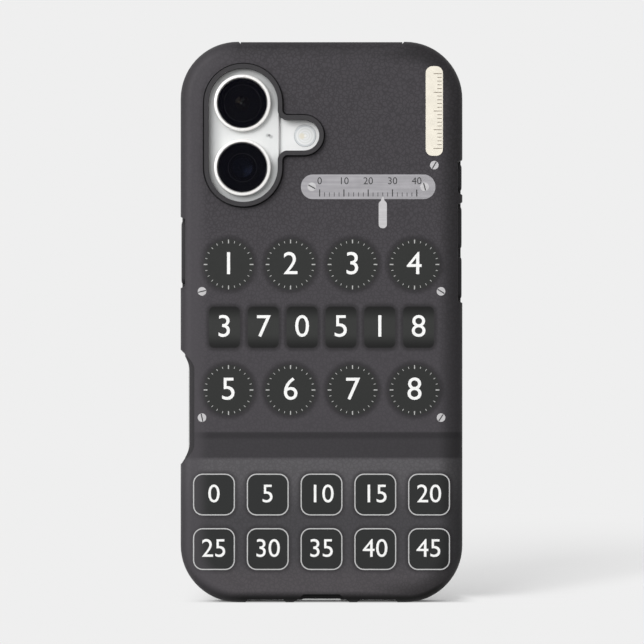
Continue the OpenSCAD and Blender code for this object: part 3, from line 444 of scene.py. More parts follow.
# ---- Buttons ----
# Anodised caps in the frame's slots, under the case's pads, and the touch-sensitive camera
# control, a flush bar of polished sapphire in the cut on the phone's other side.
for node in ("action_button", "volume_up_button", "volume_down_button", "side_button"):
    dress(node, anodised)
sapphire, tree, shader = new_material("sapphire_bar", (0.74, 0.74, 0.73), 0.07, metallic=0.2)
source, x, y, z = coordinates(tree)
feed(mix(soft_step(noise(source, 300, 2.0), 0.35, 0.65),
         (0.72, 0.72, 0.71), (0.77, 0.77, 0.76)), shader)
shader.inputs["Coat Weight"].default_value = 0.6
shader.inputs["Coat Roughness"].default_value = 0.03
solid_copy("camera_control_button", "sapphire_control", sapphire, bevel=0.12 * MM,
           body="camera_control")

# ---- Port and lower edge ----
# Drawn steel shell with a black tongue that carries gold contacts on both faces, between two
# small screws with a driver recess.
drawn_steel = finish("drawn_steel", (0.60, 0.60, 0.61), 0.26, 6000, metallic=1.0)
solid_copy("port_shell", "drawn_shell", drawn_steel, bevel=0.05 * MM)
solid_copy("port_tongue", "moulded_tongue",
           finish("tongue_plastic", (0.016, 0.016, 0.018), 0.4, 6000, vary=0.15),
           bevel=0.1 * MM)
solid_copy("lower_edge_screws", "turned_screws",
           finish("turned_steel", (0.62, 0.62, 0.62), 0.24, 9000, metallic=1.0),
           bevel=0.05 * MM)
CONTACTS = 12
CONTACT_PITCH = 0.5 * MM
CONTACT_W, CONTACT_L, CONTACT_T = 0.25 * MM, 3.2 * MM, 0.04 * MM
CONTACT_START = 0.5 * MM
tongue_low, tongue_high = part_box("port_tongue")
contacts = bmesh.new()
for face_y in (tongue_low.y, tongue_high.y):
    for i in range(CONTACTS):
        middle = Vector(((i - (CONTACTS - 1) / 2) * CONTACT_PITCH, face_y,
                         tongue_low.z + CONTACT_START + CONTACT_L / 2))
        bmesh.ops.create_cube(contacts, size=1, matrix=Matrix.Translation(middle)
                              @ Matrix.Diagonal((CONTACT_W, 2 * CONTACT_T, CONTACT_L, 1)))
bmesh.ops.bevel(contacts, geom=contacts.edges[:], offset=0.02 * MM, offset_type="OFFSET",
                segments=1, profile=0.5, material=-1, affect="EDGES")
put(contacts, "port_contacts",
    finish("contact_gold", (0.75, 0.53, 0.20), 0.25, 9000, metallic=1.0))

# ---- Display ----
# Black glass over the whole front, with the display under it as a slightly lighter field and a
# pill-shaped island for the front cameras. A woven mesh fills the slot of the earpiece.
panel_low, panel_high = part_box("display_panel")
island = [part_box(node) for node in ("front_camera", "face_sensor")]
ISLAND_Z = (island[0][0].z + island[0][1].z) / 2
ISLAND_HALF_W = 10 * MM
ISLAND_R = 2.9 * MM
FRONT_CAMERA_R, FACE_SENSOR_R = 1.6 * MM, 1.8 * MM
DISPLAY_BORDER = 0.9 * MM
DISPLAY_R = 8.6 * MM
screen, tree, shader = new_material("screen_glass", (0.008, 0.008, 0.010), 0.05, specular=0.25)
source, x, y, z = coordinates(tree)


def rounded_reach(dx, dz, half_w, half_h, r):
    """How far a point lies outside a rectangle with round corners, given its distances from
    the rectangle's middle; negative inside."""
    out_x = calc("MAXIMUM", minus(dx, half_w - r), 0.0)
    out_z = calc("MAXIMUM", minus(dz, half_h - r), 0.0)
    return minus(length(out_x, out_z), r)


def off(value, middle):
    """Distance of a coordinate from a middle."""
    return calc("ABSOLUTE", minus(value, middle))


def reach_from(x, z, middle_x, middle_z):
    """Distance from a middle, seen square to the back."""
    return length(minus(x, middle_x), minus(z, middle_z))


edge = rounded_reach(calc("ABSOLUTE", x), off(z, CENTRE_HEIGHT), panel_high.x - DISPLAY_BORDER,
                     (panel_high.z - panel_low.z) / 2 - DISPLAY_BORDER, DISPLAY_R)
lit_field = soft_step(edge, 0.05 * MM, -0.1 * MM)
pill = rounded_reach(calc("ABSOLUTE", x), off(z, ISLAND_Z), ISLAND_HALF_W, ISLAND_R, ISLAND_R)
lit_field = times(lit_field, soft_step(pill, -0.05 * MM, 0.1 * MM))
colour = mix(lit_field, (0.0025, 0.0025, 0.003), (0.011, 0.012, 0.015))
for box, window_r in zip(island, (FRONT_CAMERA_R, FACE_SENSOR_R)):
    ring = reach_from(x, z, (box[0].x + box[1].x) / 2, ISLAND_Z)
    colour = mix(soft_step(ring, window_r + 0.1 * MM, window_r), colour, (0.006, 0.008, 0.018))
    colour = mix(soft_step(ring, window_r * 0.5, window_r * 0.4), colour, (0.001, 0.001, 0.002))
feed(colour, shader)
feed(soft_step(noise(source, 60, 2.0), 0.3, 0.7, 0.04, 0.07), shader, "Roughness")
solid_copy("cover_glass", "screen_cover", screen, bevel=0.05 * MM)
dress("display_panel", finish("display_black", (0.015, 0.015, 0.02), 0.3, 8000))
dress("display_gasket", finish("adhesive_foam", (0.03, 0.03, 0.03), 0.8, 5000, vary=0.3))
woven, tree, shader = new_material("woven_mesh", (0.08, 0.08, 0.085), 0.4, metallic=0.8)
source, x, y, z = coordinates(tree)
WIRE_STEP = 0.16 * MM
weave = times(wave(x, WIRE_STEP), wave(z, WIRE_STEP))
feed(mix(soft_step(weave, -0.5, 0.5), (0.02, 0.02, 0.02), (0.13, 0.13, 0.135)), shader)
bump(shader, weave, 0.02 * MM, 0.7)
dress("earpiece_mesh", woven)

# ---- Back glass ----
# White glass, coloured through, with the camera plateau ground out of the same sheet: the
# plateau is polished and the sheet round it is matt. Towards its rounded rim the plateau is
# painted dark, a painted shade and reflection of the dark liner round it, except where it steps
# down to the flash; past that step the lower glass is painted paler, painted light against its
# shade, and two grey spots of painted shade mark the microphone hole.


def middle_of(node):
    """Middle of a node's box."""
    low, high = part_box(node)
    return (low + high) / 2


glass_material, tree, shader = new_material("back_glass", (0.78, 0.785, 0.78), 0.2)
source, x, y, z = coordinates(tree)
cloud = noise(source, 160, 2.0)
milk = mix(soft_step(cloud, 0.35, 0.65), (0.725, 0.735, 0.73), (0.755, 0.765, 0.76))
mic = middle_of("rear_microphone")
upper_lens, lower_lens = (middle_of(node) for node in ("upper_lens_window", "lower_lens_window"))
STEP_RIGHT, STEP_SOFT = 9.65 * MM, 0.3 * MM
RIM_START, RIM_END, RIM_SHADE_SHARE = 4.6 * MM, 8.6 * MM, 0.5
LOBE_HALF_H = 9 * MM, 4.5 * MM
LOBE_START, LOBE_FULL = 2 * MM, 7 * MM
STEP_X = upper_lens.x + STEP_RIGHT
# painted shade: the plateau is painted dark towards its rounded rim, standing for the shade and
# reflection of the dark liner, but not beside the flash or past the step
past_z = calc("MAXIMUM", calc("MAXIMUM", minus(z, upper_lens.z), minus(lower_lens.z, z)), 0.0)
rim = soft_step(length(minus(x, upper_lens.x), past_z), RIM_START, RIM_END, 0.0, RIM_SHADE_SHARE)
beside_flash = times(soft_step(off(z, mic.z), *LOBE_HALF_H),
                     soft_step(x, upper_lens.x + LOBE_START, upper_lens.x + LOBE_FULL))
rim = times(rim, minus(1.0, beside_flash), soft_step(x, STEP_X + STEP_SOFT, STEP_X))
milk = mix(rim, milk, (0.2, 0.205, 0.21))
# painted light: the lower glass past the plateau's step is painted paler against its shade
milk = mix(soft_step(x, STEP_X - STEP_SOFT, STEP_X), milk, (0.83, 0.835, 0.83))
# painted shade: two soft grey spots painted round the microphone hole
MIC_SHADE_SPOTS = ((-0.5, 0), (0.45, -0.35))
MIC_SHADE_CORE_R, MIC_SOFT_R, MIC_SHADE_SHARE = 0.1 * MM, 0.75 * MM, 0.6
for dx, dz in MIC_SHADE_SPOTS:
    reach = reach_from(x, z, mic.x + dx * MM, mic.z + dz * MM)
    painted_hole_shade = soft_step(reach, MIC_SOFT_R, MIC_SHADE_CORE_R, 0.0, MIC_SHADE_SHARE)
    milk = mix(painted_hole_shade, milk, (0.25, 0.26, 0.26))
feed(milk, shader)
GLASS_T = 0.8 * MM
POLISHED_RISE, MATT_RISE = 0.9 * MM, 0.1 * MM
GLASS_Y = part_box("magnet_ring")[0].y - GLASS_T
feed(soft_step(y, GLASS_Y - POLISHED_RISE, GLASS_Y - MATT_RISE, 0.16, 0.34), shader, "Roughness")
solid_copy("back_glass", "milk_glass", glass_material, bevel=0.05 * MM)

# ---- Lens rings ----
# Aluminium rings turned on a lathe, anodised pale and polished on the rim. They are pressed into
# the plateau and hold the lens windows.


def arc(r, y, radius, start, end, steps=6):
    """Round stretch of a turned profile, by angles in degrees from outwards towards +y."""
    angles = [math.radians(start + (end - start) * i / steps) for i in range(steps + 1)]
    return [(r + radius * math.cos(a), y + radius * math.sin(a)) for a in angles]


def turned(name, profile, centre, material, body=ROOT, steps=96, smooth=30):
    """Piece turned about a line along y; the profile lists radius and y, and is closed unless
    it starts and ends on the axis."""
    bm = bmesh.new()
    verts = [bm.verts.new((centre.x + r, y, centre.z)) for r, y in profile]
    edges = [bm.edges.new(pair) for pair in zip(verts, verts[1:])]
    if profile[0][0] or profile[-1][0]:
        edges.append(bm.edges.new((verts[-1], verts[0])))
    bmesh.ops.spin(bm, geom=verts + edges, cent=(centre.x, 0, centre.z), axis=(0, 1, 0),
                   angle=math.tau, steps=steps, use_merge=True)
    bmesh.ops.remove_doubles(bm, verts=bm.verts, dist=0.001 * MM)
    bmesh.ops.recalc_face_normals(bm, faces=bm.faces)
    return put(bm, name, material, body, smooth)


RING_BORE = 6.8 * MM
RING_LEDGE = 6.55 * MM
RING_SLEEVE = 7.0 * MM
RING_ROUND = 0.3 * MM
RING_CHAMFER = 0.08 * MM
ring_material = finish("anodised_rim", (0.82, 0.81, 0.79), 0.3, 2600, metallic=0.35, vary=0.03)
window_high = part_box("upper_lens_window")[1]
plateau_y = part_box("back_glass")[0].y
for node in ("upper_lens_ring", "lower_lens_ring"):
    low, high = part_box(node)
    outer = (high.x - low.x) / 2
    ring_profile = ([(RING_LEDGE, high.y), (RING_LEDGE, window_high.y),
                     (RING_BORE, window_high.y), (RING_BORE, low.y + RING_CHAMFER),
                     (RING_BORE + RING_CHAMFER, low.y)]
                    + arc(outer - RING_ROUND, low.y + RING_ROUND, RING_ROUND, -90, 0)
                    + [(outer, plateau_y), (RING_SLEEVE, plateau_y), (RING_SLEEVE, high.y)])
    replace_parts(turned(node + "_polished", ring_profile, middle_of(node), ring_material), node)

# ---- Lens windows ----
# Clear covers with a dark low-glare coating, let into the rings, over matt black baffles that
# frame the lenses.
WINDOW_CHAMFER = 0.08 * MM
coated, tree, shader = new_material("coated_window", (0.002, 0.002, 0.005), 0.02, specular=0.07)
shader.inputs["Alpha"].default_value = 0.35
baffle_black = finish("baffle_black", (0.0025, 0.0025, 0.0035), 0.6, 8000, specular=0.05, vary=0.3)
BAFFLE_OUT = 6.4 * MM
UPPER_BAFFLE_IN, LOWER_BAFFLE_IN = 5.1 * MM, 4.0 * MM
BAFFLE_T = 1.0 * MM
BAFFLE_GAP = 0.05 * MM
for which, node, inner in (("upper", "upper_lens_window", UPPER_BAFFLE_IN),
                           ("lower", "lower_lens_window", LOWER_BAFFLE_IN)):
    low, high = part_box(node)
    r = (high.x - low.x) / 2
    window_profile = [(0, low.y), (r - WINDOW_CHAMFER, low.y), (r, low.y + WINDOW_CHAMFER),
                      (r, high.y), (0, high.y)]
    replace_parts(turned(node + "_coated", window_profile, middle_of(node), coated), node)
    front = high.y + BAFFLE_GAP
    baffle_profile = [(BAFFLE_OUT, front), (BAFFLE_OUT, front + BAFFLE_T),
                      (inner, front + BAFFLE_T), (inner, front + 0.5 * BAFFLE_T),
                      (0.65 * inner + 0.35 * BAFFLE_OUT, front + 0.15 * BAFFLE_T),
                      (0.4 * inner + 0.6 * BAFFLE_OUT, front)]
    turned(which + "_baffle", baffle_profile, middle_of(node), baffle_black)

# ---- Lens barrels ----
# Black moulded barrels that move for focus. Each has a stepped hood and a front element with a
# coloured low-glare coating, domed on the main camera and dished on the wide one.
# Spots of reflected light are painted into the elements' colour: painted glints.
barrel_black = finish("barrel_black", (0.0025, 0.0025, 0.0035), 0.45, 9000, specular=0.06, vary=0.3)
HOOD_STEPS = 4
HOOD_DEEP = 0.9 * MM
HOOD_WIDE = 0.9
BARREL_CHAMFER = 0.1 * MM
ELEMENT_T = 0.05 * MM
MAIN_CROWN, WIDE_CROWN = 0.55 * MM, -0.8 * MM
# painted glints, spots of reflected light painted in the glass: place in x and z from the middle,
# radius, all in mm, and colour
MAIN_PAINTED_GLINTS = ((-1.5, 0.7, 0.7, (0.040, 0.037, 0.030)), (-1.1, 1.4, 0.6, (0.036, 0.033, 0.025)),
              (-0.35, 0.05, 0.45, (0.15, 0.17, 0.17)), (0.4, -0.5, 0.5, (0.024, 0.032, 0.032)),
              (0.1, 1.0, 0.6, (0.010, 0.016, 0.016)))
WIDE_PAINTED_GLINTS = ((2.7, -0.2, 1.2, (0.018, 0.022, 0.044)), (2.4, -1.3, 1.5, (0.028, 0.034, 0.066)),
              (1.3, -2.3, 1.2, (0.016, 0.020, 0.038)), (-0.6, 0.1, 0.5, (0.016, 0.017, 0.015)))
for body, node, element_share, tint, crown, painted_glints in (
        ("main_lens", "main_lens_barrel", 0.42, (1.0, 0.8, 0.55), MAIN_CROWN, MAIN_PAINTED_GLINTS),
        ("ultrawide_lens", "ultrawide_lens_barrel", 0.72, (0.4, 0.55, 1.0), WIDE_CROWN,
         WIDE_PAINTED_GLINTS)):
    low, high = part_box(node)
    r = (high.x - low.x) / 2
    element_r = r * element_share
    hood = []
    for i in range(HOOD_STEPS):
        step_r = element_r + (HOOD_WIDE * r - element_r) * (HOOD_STEPS - i) / HOOD_STEPS
        hood += [(step_r, low.y + HOOD_DEEP * i / HOOD_STEPS),
                 (step_r, low.y + HOOD_DEEP * (i + 1) / HOOD_STEPS)]
    floor_y = low.y + HOOD_DEEP
    barrel_profile = ([(0, floor_y), (element_r, floor_y)] + hood[::-1]
                      + [(r - BARREL_CHAMFER, low.y), (r, low.y + BARREL_CHAMFER),
                         (r, high.y), (0, high.y)])
    barrel = turned(body + "_barrel", barrel_profile, middle_of(node), barrel_black, body=body)
    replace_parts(barrel, node)
    sphere_r = (element_r ** 2 + crown ** 2) / (2 * abs(crown))
    half_angle = math.degrees(math.asin(element_r / sphere_r))
    if crown > 0:
        front = arc(0, floor_y - crown + sphere_r, sphere_r, -90, -90 + half_angle, 10)
    else:
        front = arc(0, floor_y - sphere_r, sphere_r, 90, 90 - half_angle, 10)
    back_y = floor_y + ELEMENT_T
    element_profile = [(0, front[0][1])] + front[1:] + [(element_r, back_y), (0, back_y)]
    coating, tree, shader = new_material(body + "_coating", (0.002, 0.002, 0.003), 0.06,
                                         specular=0.15)
    shader.inputs["Specular Tint"].default_value = (*tint, 1)
    source, x, y, z = coordinates(tree)
    centre = middle_of(node)
    colour = (0.002, 0.002, 0.003)
    # painted glints: spots of reflected light painted into the element's colour
    for dx, dz, painted_light_r, painted_light in painted_glints:
        reach = reach_from(x, z, centre.x + dx * MM, centre.z + dz * MM)
        colour = mix(soft_step(reach, painted_light_r * MM, 0.3 * painted_light_r * MM), colour, painted_light)
    feed(colour, shader)
    feed(soft_step(noise(source, 900, 2.0), 0.3, 0.7, 0.04, 0.09), shader, "Roughness")
    turned(body + "_element", element_profile, centre, coating, body=body)

# ---- Flash ----
# Moulded window with fine lens rings on its inner face, over yellow phosphor squares on a white
# reflector. The window's colour carries painted shading of its rings, a blue-grey ring near its
# edge, and a painted warm glow and white highlight; the phosphor carries painted shade of the
# rings.
flash_middle = middle_of("flash_window")
flash_low, flash_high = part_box("flash_window")
FLASH_R = (flash_high.x - flash_low.x) / 2
FRESNEL_RINGS = 7
FRESNEL_DEPTH = 0.12 * MM
FRESNEL_PITCH = 0.34 * MM
FRESNEL_FLAT = 0.02 * MM
FLASH_CHAMFER = 0.1 * MM
RIM_IN, RIM_OUT = (2.3 * MM, 2.6 * MM), (3.0 * MM, 2.85 * MM)
flash_clear, tree, shader = new_material("flash_clear", (0.90, 0.92, 0.92), 0.12, specular=0.3)
shader.inputs["Alpha"].default_value = 0.9
source, x, y, z = coordinates(tree)
reach = reach_from(x, z, flash_middle.x, flash_middle.z)
# painted shading: lighter and darker rings painted over the lens rings
painted_ring_shade = wave(reach, 2 * FRESNEL_PITCH)
colour = mix(soft_step(painted_ring_shade, -1, 1), (0.84, 0.855, 0.84), (0.93, 0.94, 0.94))
outer_ring = times(soft_step(reach, *RIM_IN, 0.0, 0.85), soft_step(reach, *RIM_OUT))
colour = mix(outer_ring, colour, (0.70, 0.73, 0.75))
# painted light: a warm glow and a white highlight painted on the window
FLASH_PAINTED_LIGHTS = ((-0.85, -0.1, 1.1, (0.86, 0.82, 0.70)), (0.05, 0.0, 0.5, (1, 1, 0.97)))
for dx, dz, painted_light_r, painted_light in FLASH_PAINTED_LIGHTS:
    spot = reach_from(x, z, flash_middle.x + dx * MM, flash_middle.z + dz * MM)
    colour = mix(soft_step(spot, painted_light_r * MM, 0.4 * painted_light_r * MM), colour, painted_light)
feed(colour, shader)
flash_profile = [(0, flash_low.y), (FLASH_R - FLASH_CHAMFER, flash_low.y),
                 (FLASH_R, flash_low.y + FLASH_CHAMFER), (FLASH_R, flash_high.y)]
for i in range(FRESNEL_RINGS, 0, -1):
    flash_profile += [(i * FRESNEL_PITCH + FRESNEL_FLAT, flash_high.y),
                      (i * FRESNEL_PITCH, flash_high.y - FRESNEL_DEPTH)]
flash_profile.append((0, flash_high.y - 0.3 * FRESNEL_DEPTH))
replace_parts(turned("flash_lens", flash_profile, flash_middle, flash_clear),
            "flash_window")
phosphor, tree, shader = new_material("flash_phosphor", (0.85, 0.85, 0.80), 0.35)
source, x, y, z = coordinates(tree)
DIE_OFFSET, DIE_HALF = 0.55 * MM, 0.5 * MM
die_x = off(off(x, flash_middle.x), DIE_OFFSET)
die = calc("MAXIMUM", die_x, off(z, flash_middle.z))
colour = mix(soft_step(die, DIE_HALF, DIE_HALF * 0.6), (0.95, 0.96, 0.95), (0.93, 0.85, 0.58))
# painted shade of the lens rings, painted as faint rings on the phosphor and reflector
painted_ring_shade = wave(reach_from(x, z, flash_middle.x, flash_middle.z), FRESNEL_PITCH)
colour = mix(soft_step(painted_ring_shade, -1, 1, 0.0, 0.15), colour, (0.55, 0.62, 0.66))
feed(colour, shader)
dress("flash_leds", phosphor)

# ---- Liner ----
# Soft moulded liner round the phone: its lip stands up round the cameras through the shell,
# its rim shows in front, and it comes through the shell at the pads, the port and the top bar.
liner_material = finish("liner_rubber", (0.049, 0.047, 0.050), 0.55, 5000, specular=0.1,
                        vary=0.15, relief=0.006)
LOWER_EDGE = 2.2 * MM
LOWER_EDGE_SOFT = 0.8 * MM
tree = liner_material.node_tree
shader = tree.nodes["Principled BSDF"]
source, x, y, z = coordinates(tree)
grey = shader.inputs["Base Color"].links[0].from_socket
# painted shade: the liner is painted near black along its lowest edge, where it lies in shade
painted_lower_shade = soft_step(z, LOWER_EDGE + LOWER_EDGE_SOFT, LOWER_EDGE, 0.0, 0.9)
feed(mix(painted_lower_shade, grey, (0.001, 0.001, 0.001)), shader)
solid_copy("case_liner", "liner", liner_material, bevel=0.2 * MM)

# ---- Pads ----
# Raised pads of the same soft rubber, moulded in one with the liner and crowned by rounded
# edges. They give with the phone's keys, which lie right under them.
for node, body in (("action_pad", "action_key"), ("volume_up_pad", "volume_up_key"),
                   ("volume_down_pad", "volume_down_key"), ("power_pad", "side_key")):
    solid_copy(node, node + "_crowned", liner_material, bevel=0.5 * MM, body=body)

# ---- Case shell ----
# Hard polycarbonate shell, moulded in one piece and printed on its back and over its rounded
# edges. It snaps over the soft liner and is cut away at the pads, the port and the cameras.
shell_low, shell_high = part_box("case_shell")
CASE_W = shell_high.x - shell_low.x
CASE_H = shell_high.z - shell_low.z
CASE_CORNER_R = 15.35 * MM
CASE_EDGE_R = 3.2 * MM
BACK_Y = shell_low.y
DIAL_PITCH = 16.6 * MM
DIAL_ROWS = (15.4 * MM, -18.2 * MM)
DIAL_COLUMNS = 4
DIAL_R = 6.9 * MM
DRUM_PITCH = 10.4 * MM
DRUM_ROW = -1.4 * MM
DRUM_COLUMNS = 6
DRUM_W, DRUM_H, DRUM_R = 8.6 * MM, 11.4 * MM, 1.6 * MM
WINDOW_PITCH = 14.4 * MM
WINDOW_ROWS = (-46.2 * MM, -60.8 * MM)
WINDOW_COLUMNS = 5
WINDOW_W = 11.2 * MM
WINDOW_R = 2.6 * MM
BAND_HIGH = -29.4 * MM
BAND_LOW = -36.4 * MM


def nearest(x, z, pitch, columns, rows):
    """Sideways and upright distances to the nearest middle of a straight grid."""
    half = (columns - 1) / 2
    shift = half % 1
    column = minus(calc("DIVIDE", x, pitch), shift)
    column = calc("ADD", calc("ROUND", column), shift)
    column = calc("MAXIMUM", calc("MINIMUM", column, half), -half)
    dz = off(z, CENTRE_HEIGHT + rows[0])
    for row in rows[1:]:
        dz = calc("MINIMUM", dz, off(z, CENTRE_HEIGHT + row))
    return off(x, times(column, pitch)), dz


def sunk(colour, reach, soft, halo, face):
    """Dark printed shape: its halo fades out over soft, and face fills it; reach is the
    distance outside its edge."""
    colour = mix(soft_step(reach, soft, 0.0, 0.0, 0.62), colour, halo)
    return mix(soft_step(reach, 0.05 * MM, -0.35 * MM), colour, face)


shell_material, tree, shader = new_material("printed_shell", (0.04, 0.039, 0.042), 0.5,
                                            specular=0.12)
source, x, y, z = coordinates(tree)
height = minus(z, CENTRE_HEIGHT)

# grain like leather, of cells that wander a little, over slight clouds
HIDE_CELLS = 950
SWIRL_CELLS = 700
WANDER = 1.1 * MM
swirl = tree.nodes.new("ShaderNodeTexNoise")
give(swirl.inputs["Scale"], SWIRL_CELLS)
give(swirl.inputs["Vector"], source)
drift = tree.nodes.new("ShaderNodeVectorMath")
drift.operation = "SCALE"
give(drift.inputs["Scale"], WANDER)
give(drift.inputs[0], swirl.outputs["Color"])
wander = tree.nodes.new("ShaderNodeVectorMath")
wander.operation = "ADD"
give(wander.inputs[0], source)
give(wander.inputs[1], drift.outputs[0])
grain = soft_step(cell_edges(wander.outputs[0], HIDE_CELLS), 0.0, 0.22)
cloud = noise(source, 240, 4.0, 0.6)
mottle = calc("ADD", times(grain, 0.55), times(cloud, 0.45))
speckle = soft_step(mottle, 0.2, 0.8)
colour = mix(speckle, (0.041, 0.0378, 0.042), (0.056, 0.0517, 0.0577))

# the field turns paler downwards, to a dark band with a groove along its upper edge
FIELD_HIGH, FIELD_LOW = 50 * MM, -28 * MM
GROOVE_W = 2.4 * MM
colour = mix(soft_step(height, FIELD_HIGH, FIELD_LOW, 0.0, 0.5), colour, (0.070, 0.065, 0.072))
in_band = times(soft_step(height, BAND_LOW - 0.4 * MM, BAND_LOW + 0.3 * MM),
                soft_step(height, BAND_HIGH + 0.2 * MM, BAND_HIGH - 0.2 * MM), 0.54)
colour = mix(in_band, colour, (0.027, 0.026, 0.028))
groove = times(soft_step(height, BAND_HIGH - GROOVE_W, BAND_HIGH - GROOVE_W / 2),
               soft_step(height, BAND_HIGH + 0.1 * MM, BAND_HIGH - 0.6 * MM), 0.44)
colour = mix(groove, colour, (0.014, 0.013, 0.015))

# the panel below the band is pale along the top and again along the lower edge
PANEL_TOP, PANEL_MIDDLE = -38 * MM, -53 * MM
PANEL_LOW, PANEL_END = -61 * MM, -70 * MM
pale = mix(soft_step(height, PANEL_TOP, PANEL_MIDDLE), (0.100, 0.096, 0.102),
           (0.060, 0.0577, 0.0625))
pale = mix(soft_step(height, PANEL_LOW, PANEL_END, 0.0, 0.75), pale, (0.088, 0.080, 0.086))
pale = mix(soft_step(mottle, 0.2, 0.8, 0.2, 0.0), pale, (0.02, 0.02, 0.02))
below = soft_step(height, BAND_LOW + 0.4 * MM, BAND_LOW - 0.8 * MM)
colour = mix(below, colour, pale)

dx, dz = nearest(x, z, DIAL_PITCH, DIAL_COLUMNS, DIAL_ROWS)
reach = minus(length(dx, dz), DIAL_R)
colour = sunk(colour, reach, 1.6 * MM, (0.017, 0.016, 0.017), (0.027, 0.028, 0.027))
dx, dz = nearest(x, z, DRUM_PITCH, DRUM_COLUMNS, (DRUM_ROW,))
reach = rounded_reach(dx, dz, DRUM_W / 2, DRUM_H / 2, DRUM_R)
curve = soft_step(dz, DRUM_H * 0.12, DRUM_H / 2)
drum = mix(curve, (0.034, 0.035, 0.034), (0.009, 0.009, 0.009))
colour = sunk(colour, reach, 1.2 * MM, (0.017, 0.016, 0.017), drum)
dx, dz = nearest(x, z, WINDOW_PITCH, WINDOW_COLUMNS, WINDOW_ROWS)
reach = rounded_reach(dx, dz, WINDOW_W / 2, WINDOW_W / 2, WINDOW_R)
colour = sunk(colour, reach, 1.3 * MM, (0.024, 0.022, 0.024), (0.025, 0.026, 0.026))

# painted shade and light at the edges: the shell is painted darker towards the right and upper
# edges as painted shade of its rounded edge, darker along the lower edge as dark print and painted
# shade, and paler towards the left as painted light, where only the outermost stretch is painted
# darker as painted shade; each gives the insets at which it starts and is full, and its shares
# there
RIGHT_X, RIGHT_SHADE = (8 * MM, 28 * MM), (7.4 * MM, 2.8 * MM, 0.0, 0.6)
TOP_Z, TOP_SHADE = (50 * MM, 66 * MM), (4.8 * MM, 1.0 * MM, 0.0, 0.42)
FOOT_Z, FOOT_INK_AND_SHADE = (-66 * MM, -72 * MM), (3.6 * MM, 1.1 * MM)
LEFT_X, LEFT_LIGHT = (-20 * MM, -32 * MM), (8.0 * MM, 4.0 * MM, 0.0, 0.6)
OUTER_LEFT_SHADE = 2.2 * MM, 0.5 * MM, 0.0, 0.35
inset = times(-1.0, rounded_reach(calc("ABSOLUTE", x), calc("ABSOLUTE", height),
                                  CASE_W / 2, CASE_H / 2, CASE_CORNER_R))
shade_to_right = times(soft_step(x, *RIGHT_X), soft_step(inset, *RIGHT_SHADE))
shade_to_top = times(soft_step(height, *TOP_Z), soft_step(inset, *TOP_SHADE))
ink_and_shade_to_foot = times(soft_step(height, *FOOT_Z), soft_step(inset, *FOOT_INK_AND_SHADE))
on_left = soft_step(x, *LEFT_X)
edge_shade_and_ink = calc("MAXIMUM", calc("MAXIMUM", shade_to_right, shade_to_top), ink_and_shade_to_foot)
colour = mix(edge_shade_and_ink, colour, (0.004, 0.004, 0.004))
# painted light on the left, and painted shade on its outermost stretch
painted_left_light = times(on_left, soft_step(inset, *LEFT_LIGHT))
colour = mix(painted_left_light, colour, (0.072, 0.067, 0.074))
painted_left_rim_shade = times(on_left, soft_step(inset, *OUTER_LEFT_SHADE))
colour = mix(painted_left_rim_shade, colour, (0.012, 0.012, 0.012))
feed(colour, shader)
feed(soft_step(cloud, 0.3, 0.7, 0.42, 0.56), shader, "Roughness")
bump(shader, mottle, 0.02 * MM, 0.5)
solid_copy("case_shell", "shell", shell_material, bevel=0.15 * MM)

# ---- Print on the shell ----
# Ink that stands a few hundredths of a millimetre proud: plain numbers and ticks of the dials,
# number drums and windows, a silver scale with its pointer, screw heads and a cream gauge bar.
INK_LIFT = 0.02 * MM
INK_T = 0.02 * MM


def lay(bm):
    """Wraps what is drawn in x and z, with -y outwards, over the shell's rounded edge."""
    half_x = CASE_W / 2 - CASE_CORNER_R
    half_z = CASE_H / 2 - CASE_CORNER_R
    for vert in bm.verts:
        dx = max(abs(vert.co.x) - half_x, 0)
        dz = max(abs(vert.co.z - CENTRE_HEIGHT) - half_z, 0)
        across = CASE_EDGE_R - (CASE_CORNER_R - math.hypot(dx, dz))
        across = min(max(across, 0), CASE_EDGE_R)
        drop = CASE_EDGE_R - math.sqrt(CASE_EDGE_R ** 2 - across ** 2)
        vert.co.y += BACK_Y + drop


STREAK_CELLS = (60, 1, 1600)


def ink(name, colour, roughness=0.4, metallic=0.0, streak=0.0):
    """Ink with slight cloudiness; streak adds the drawn lines of a metal print."""
    made, tree, shader = new_material(name, colour, roughness, metallic)
    source, x, y, z = coordinates(tree)
    cloud = noise(source, 420, 3.0)
    value = soft_step(cloud, 0.3, 0.7, 0.93, 1.0)
    if streak:
        stretch = tree.nodes.new("ShaderNodeMapping")
        stretch.inputs["Scale"].default_value = STREAK_CELLS
        tree.links.new(source, stretch.inputs["Vector"])
        lines = noise(stretch.outputs[0], 1.0, 2.0)
        value = times(value, soft_step(lines, 0.3, 0.7, 1 - streak, 1))
    feed(mix(value, (0, 0, 0), colour), shader)
    return made


white_ink = ink("white_ink", (0.90, 0.90, 0.89))
silver_ink = ink("silver_ink", (0.38, 0.37, 0.39), 0.32, 0.25, streak=0.18)
ring_ink = ink("ring_ink", (0.50, 0.50, 0.50), 0.35)
cream_ink = ink("cream_ink", (0.82, 0.77, 0.66))
black_ink = ink("black_ink", (0.012, 0.012, 0.013))
brown_ink = ink("brown_ink", (0.16, 0.12, 0.08))
pale_ink = ink("pale_ink", (0.42, 0.42, 0.41))
bright_ink = ink("bright_ink", (0.56, 0.55, 0.56), 0.3, 0.3, streak=0.1)


def add(bm, part, place):
    """Moves a part to its place and adds it to a larger mesh."""
    bmesh.ops.transform(part, matrix=place, verts=part.verts)
    mesh = bpy.data.meshes.new("part")
    part.to_mesh(mesh)
    part.free()
    bm.from_mesh(mesh)
    bpy.data.meshes.remove(mesh)


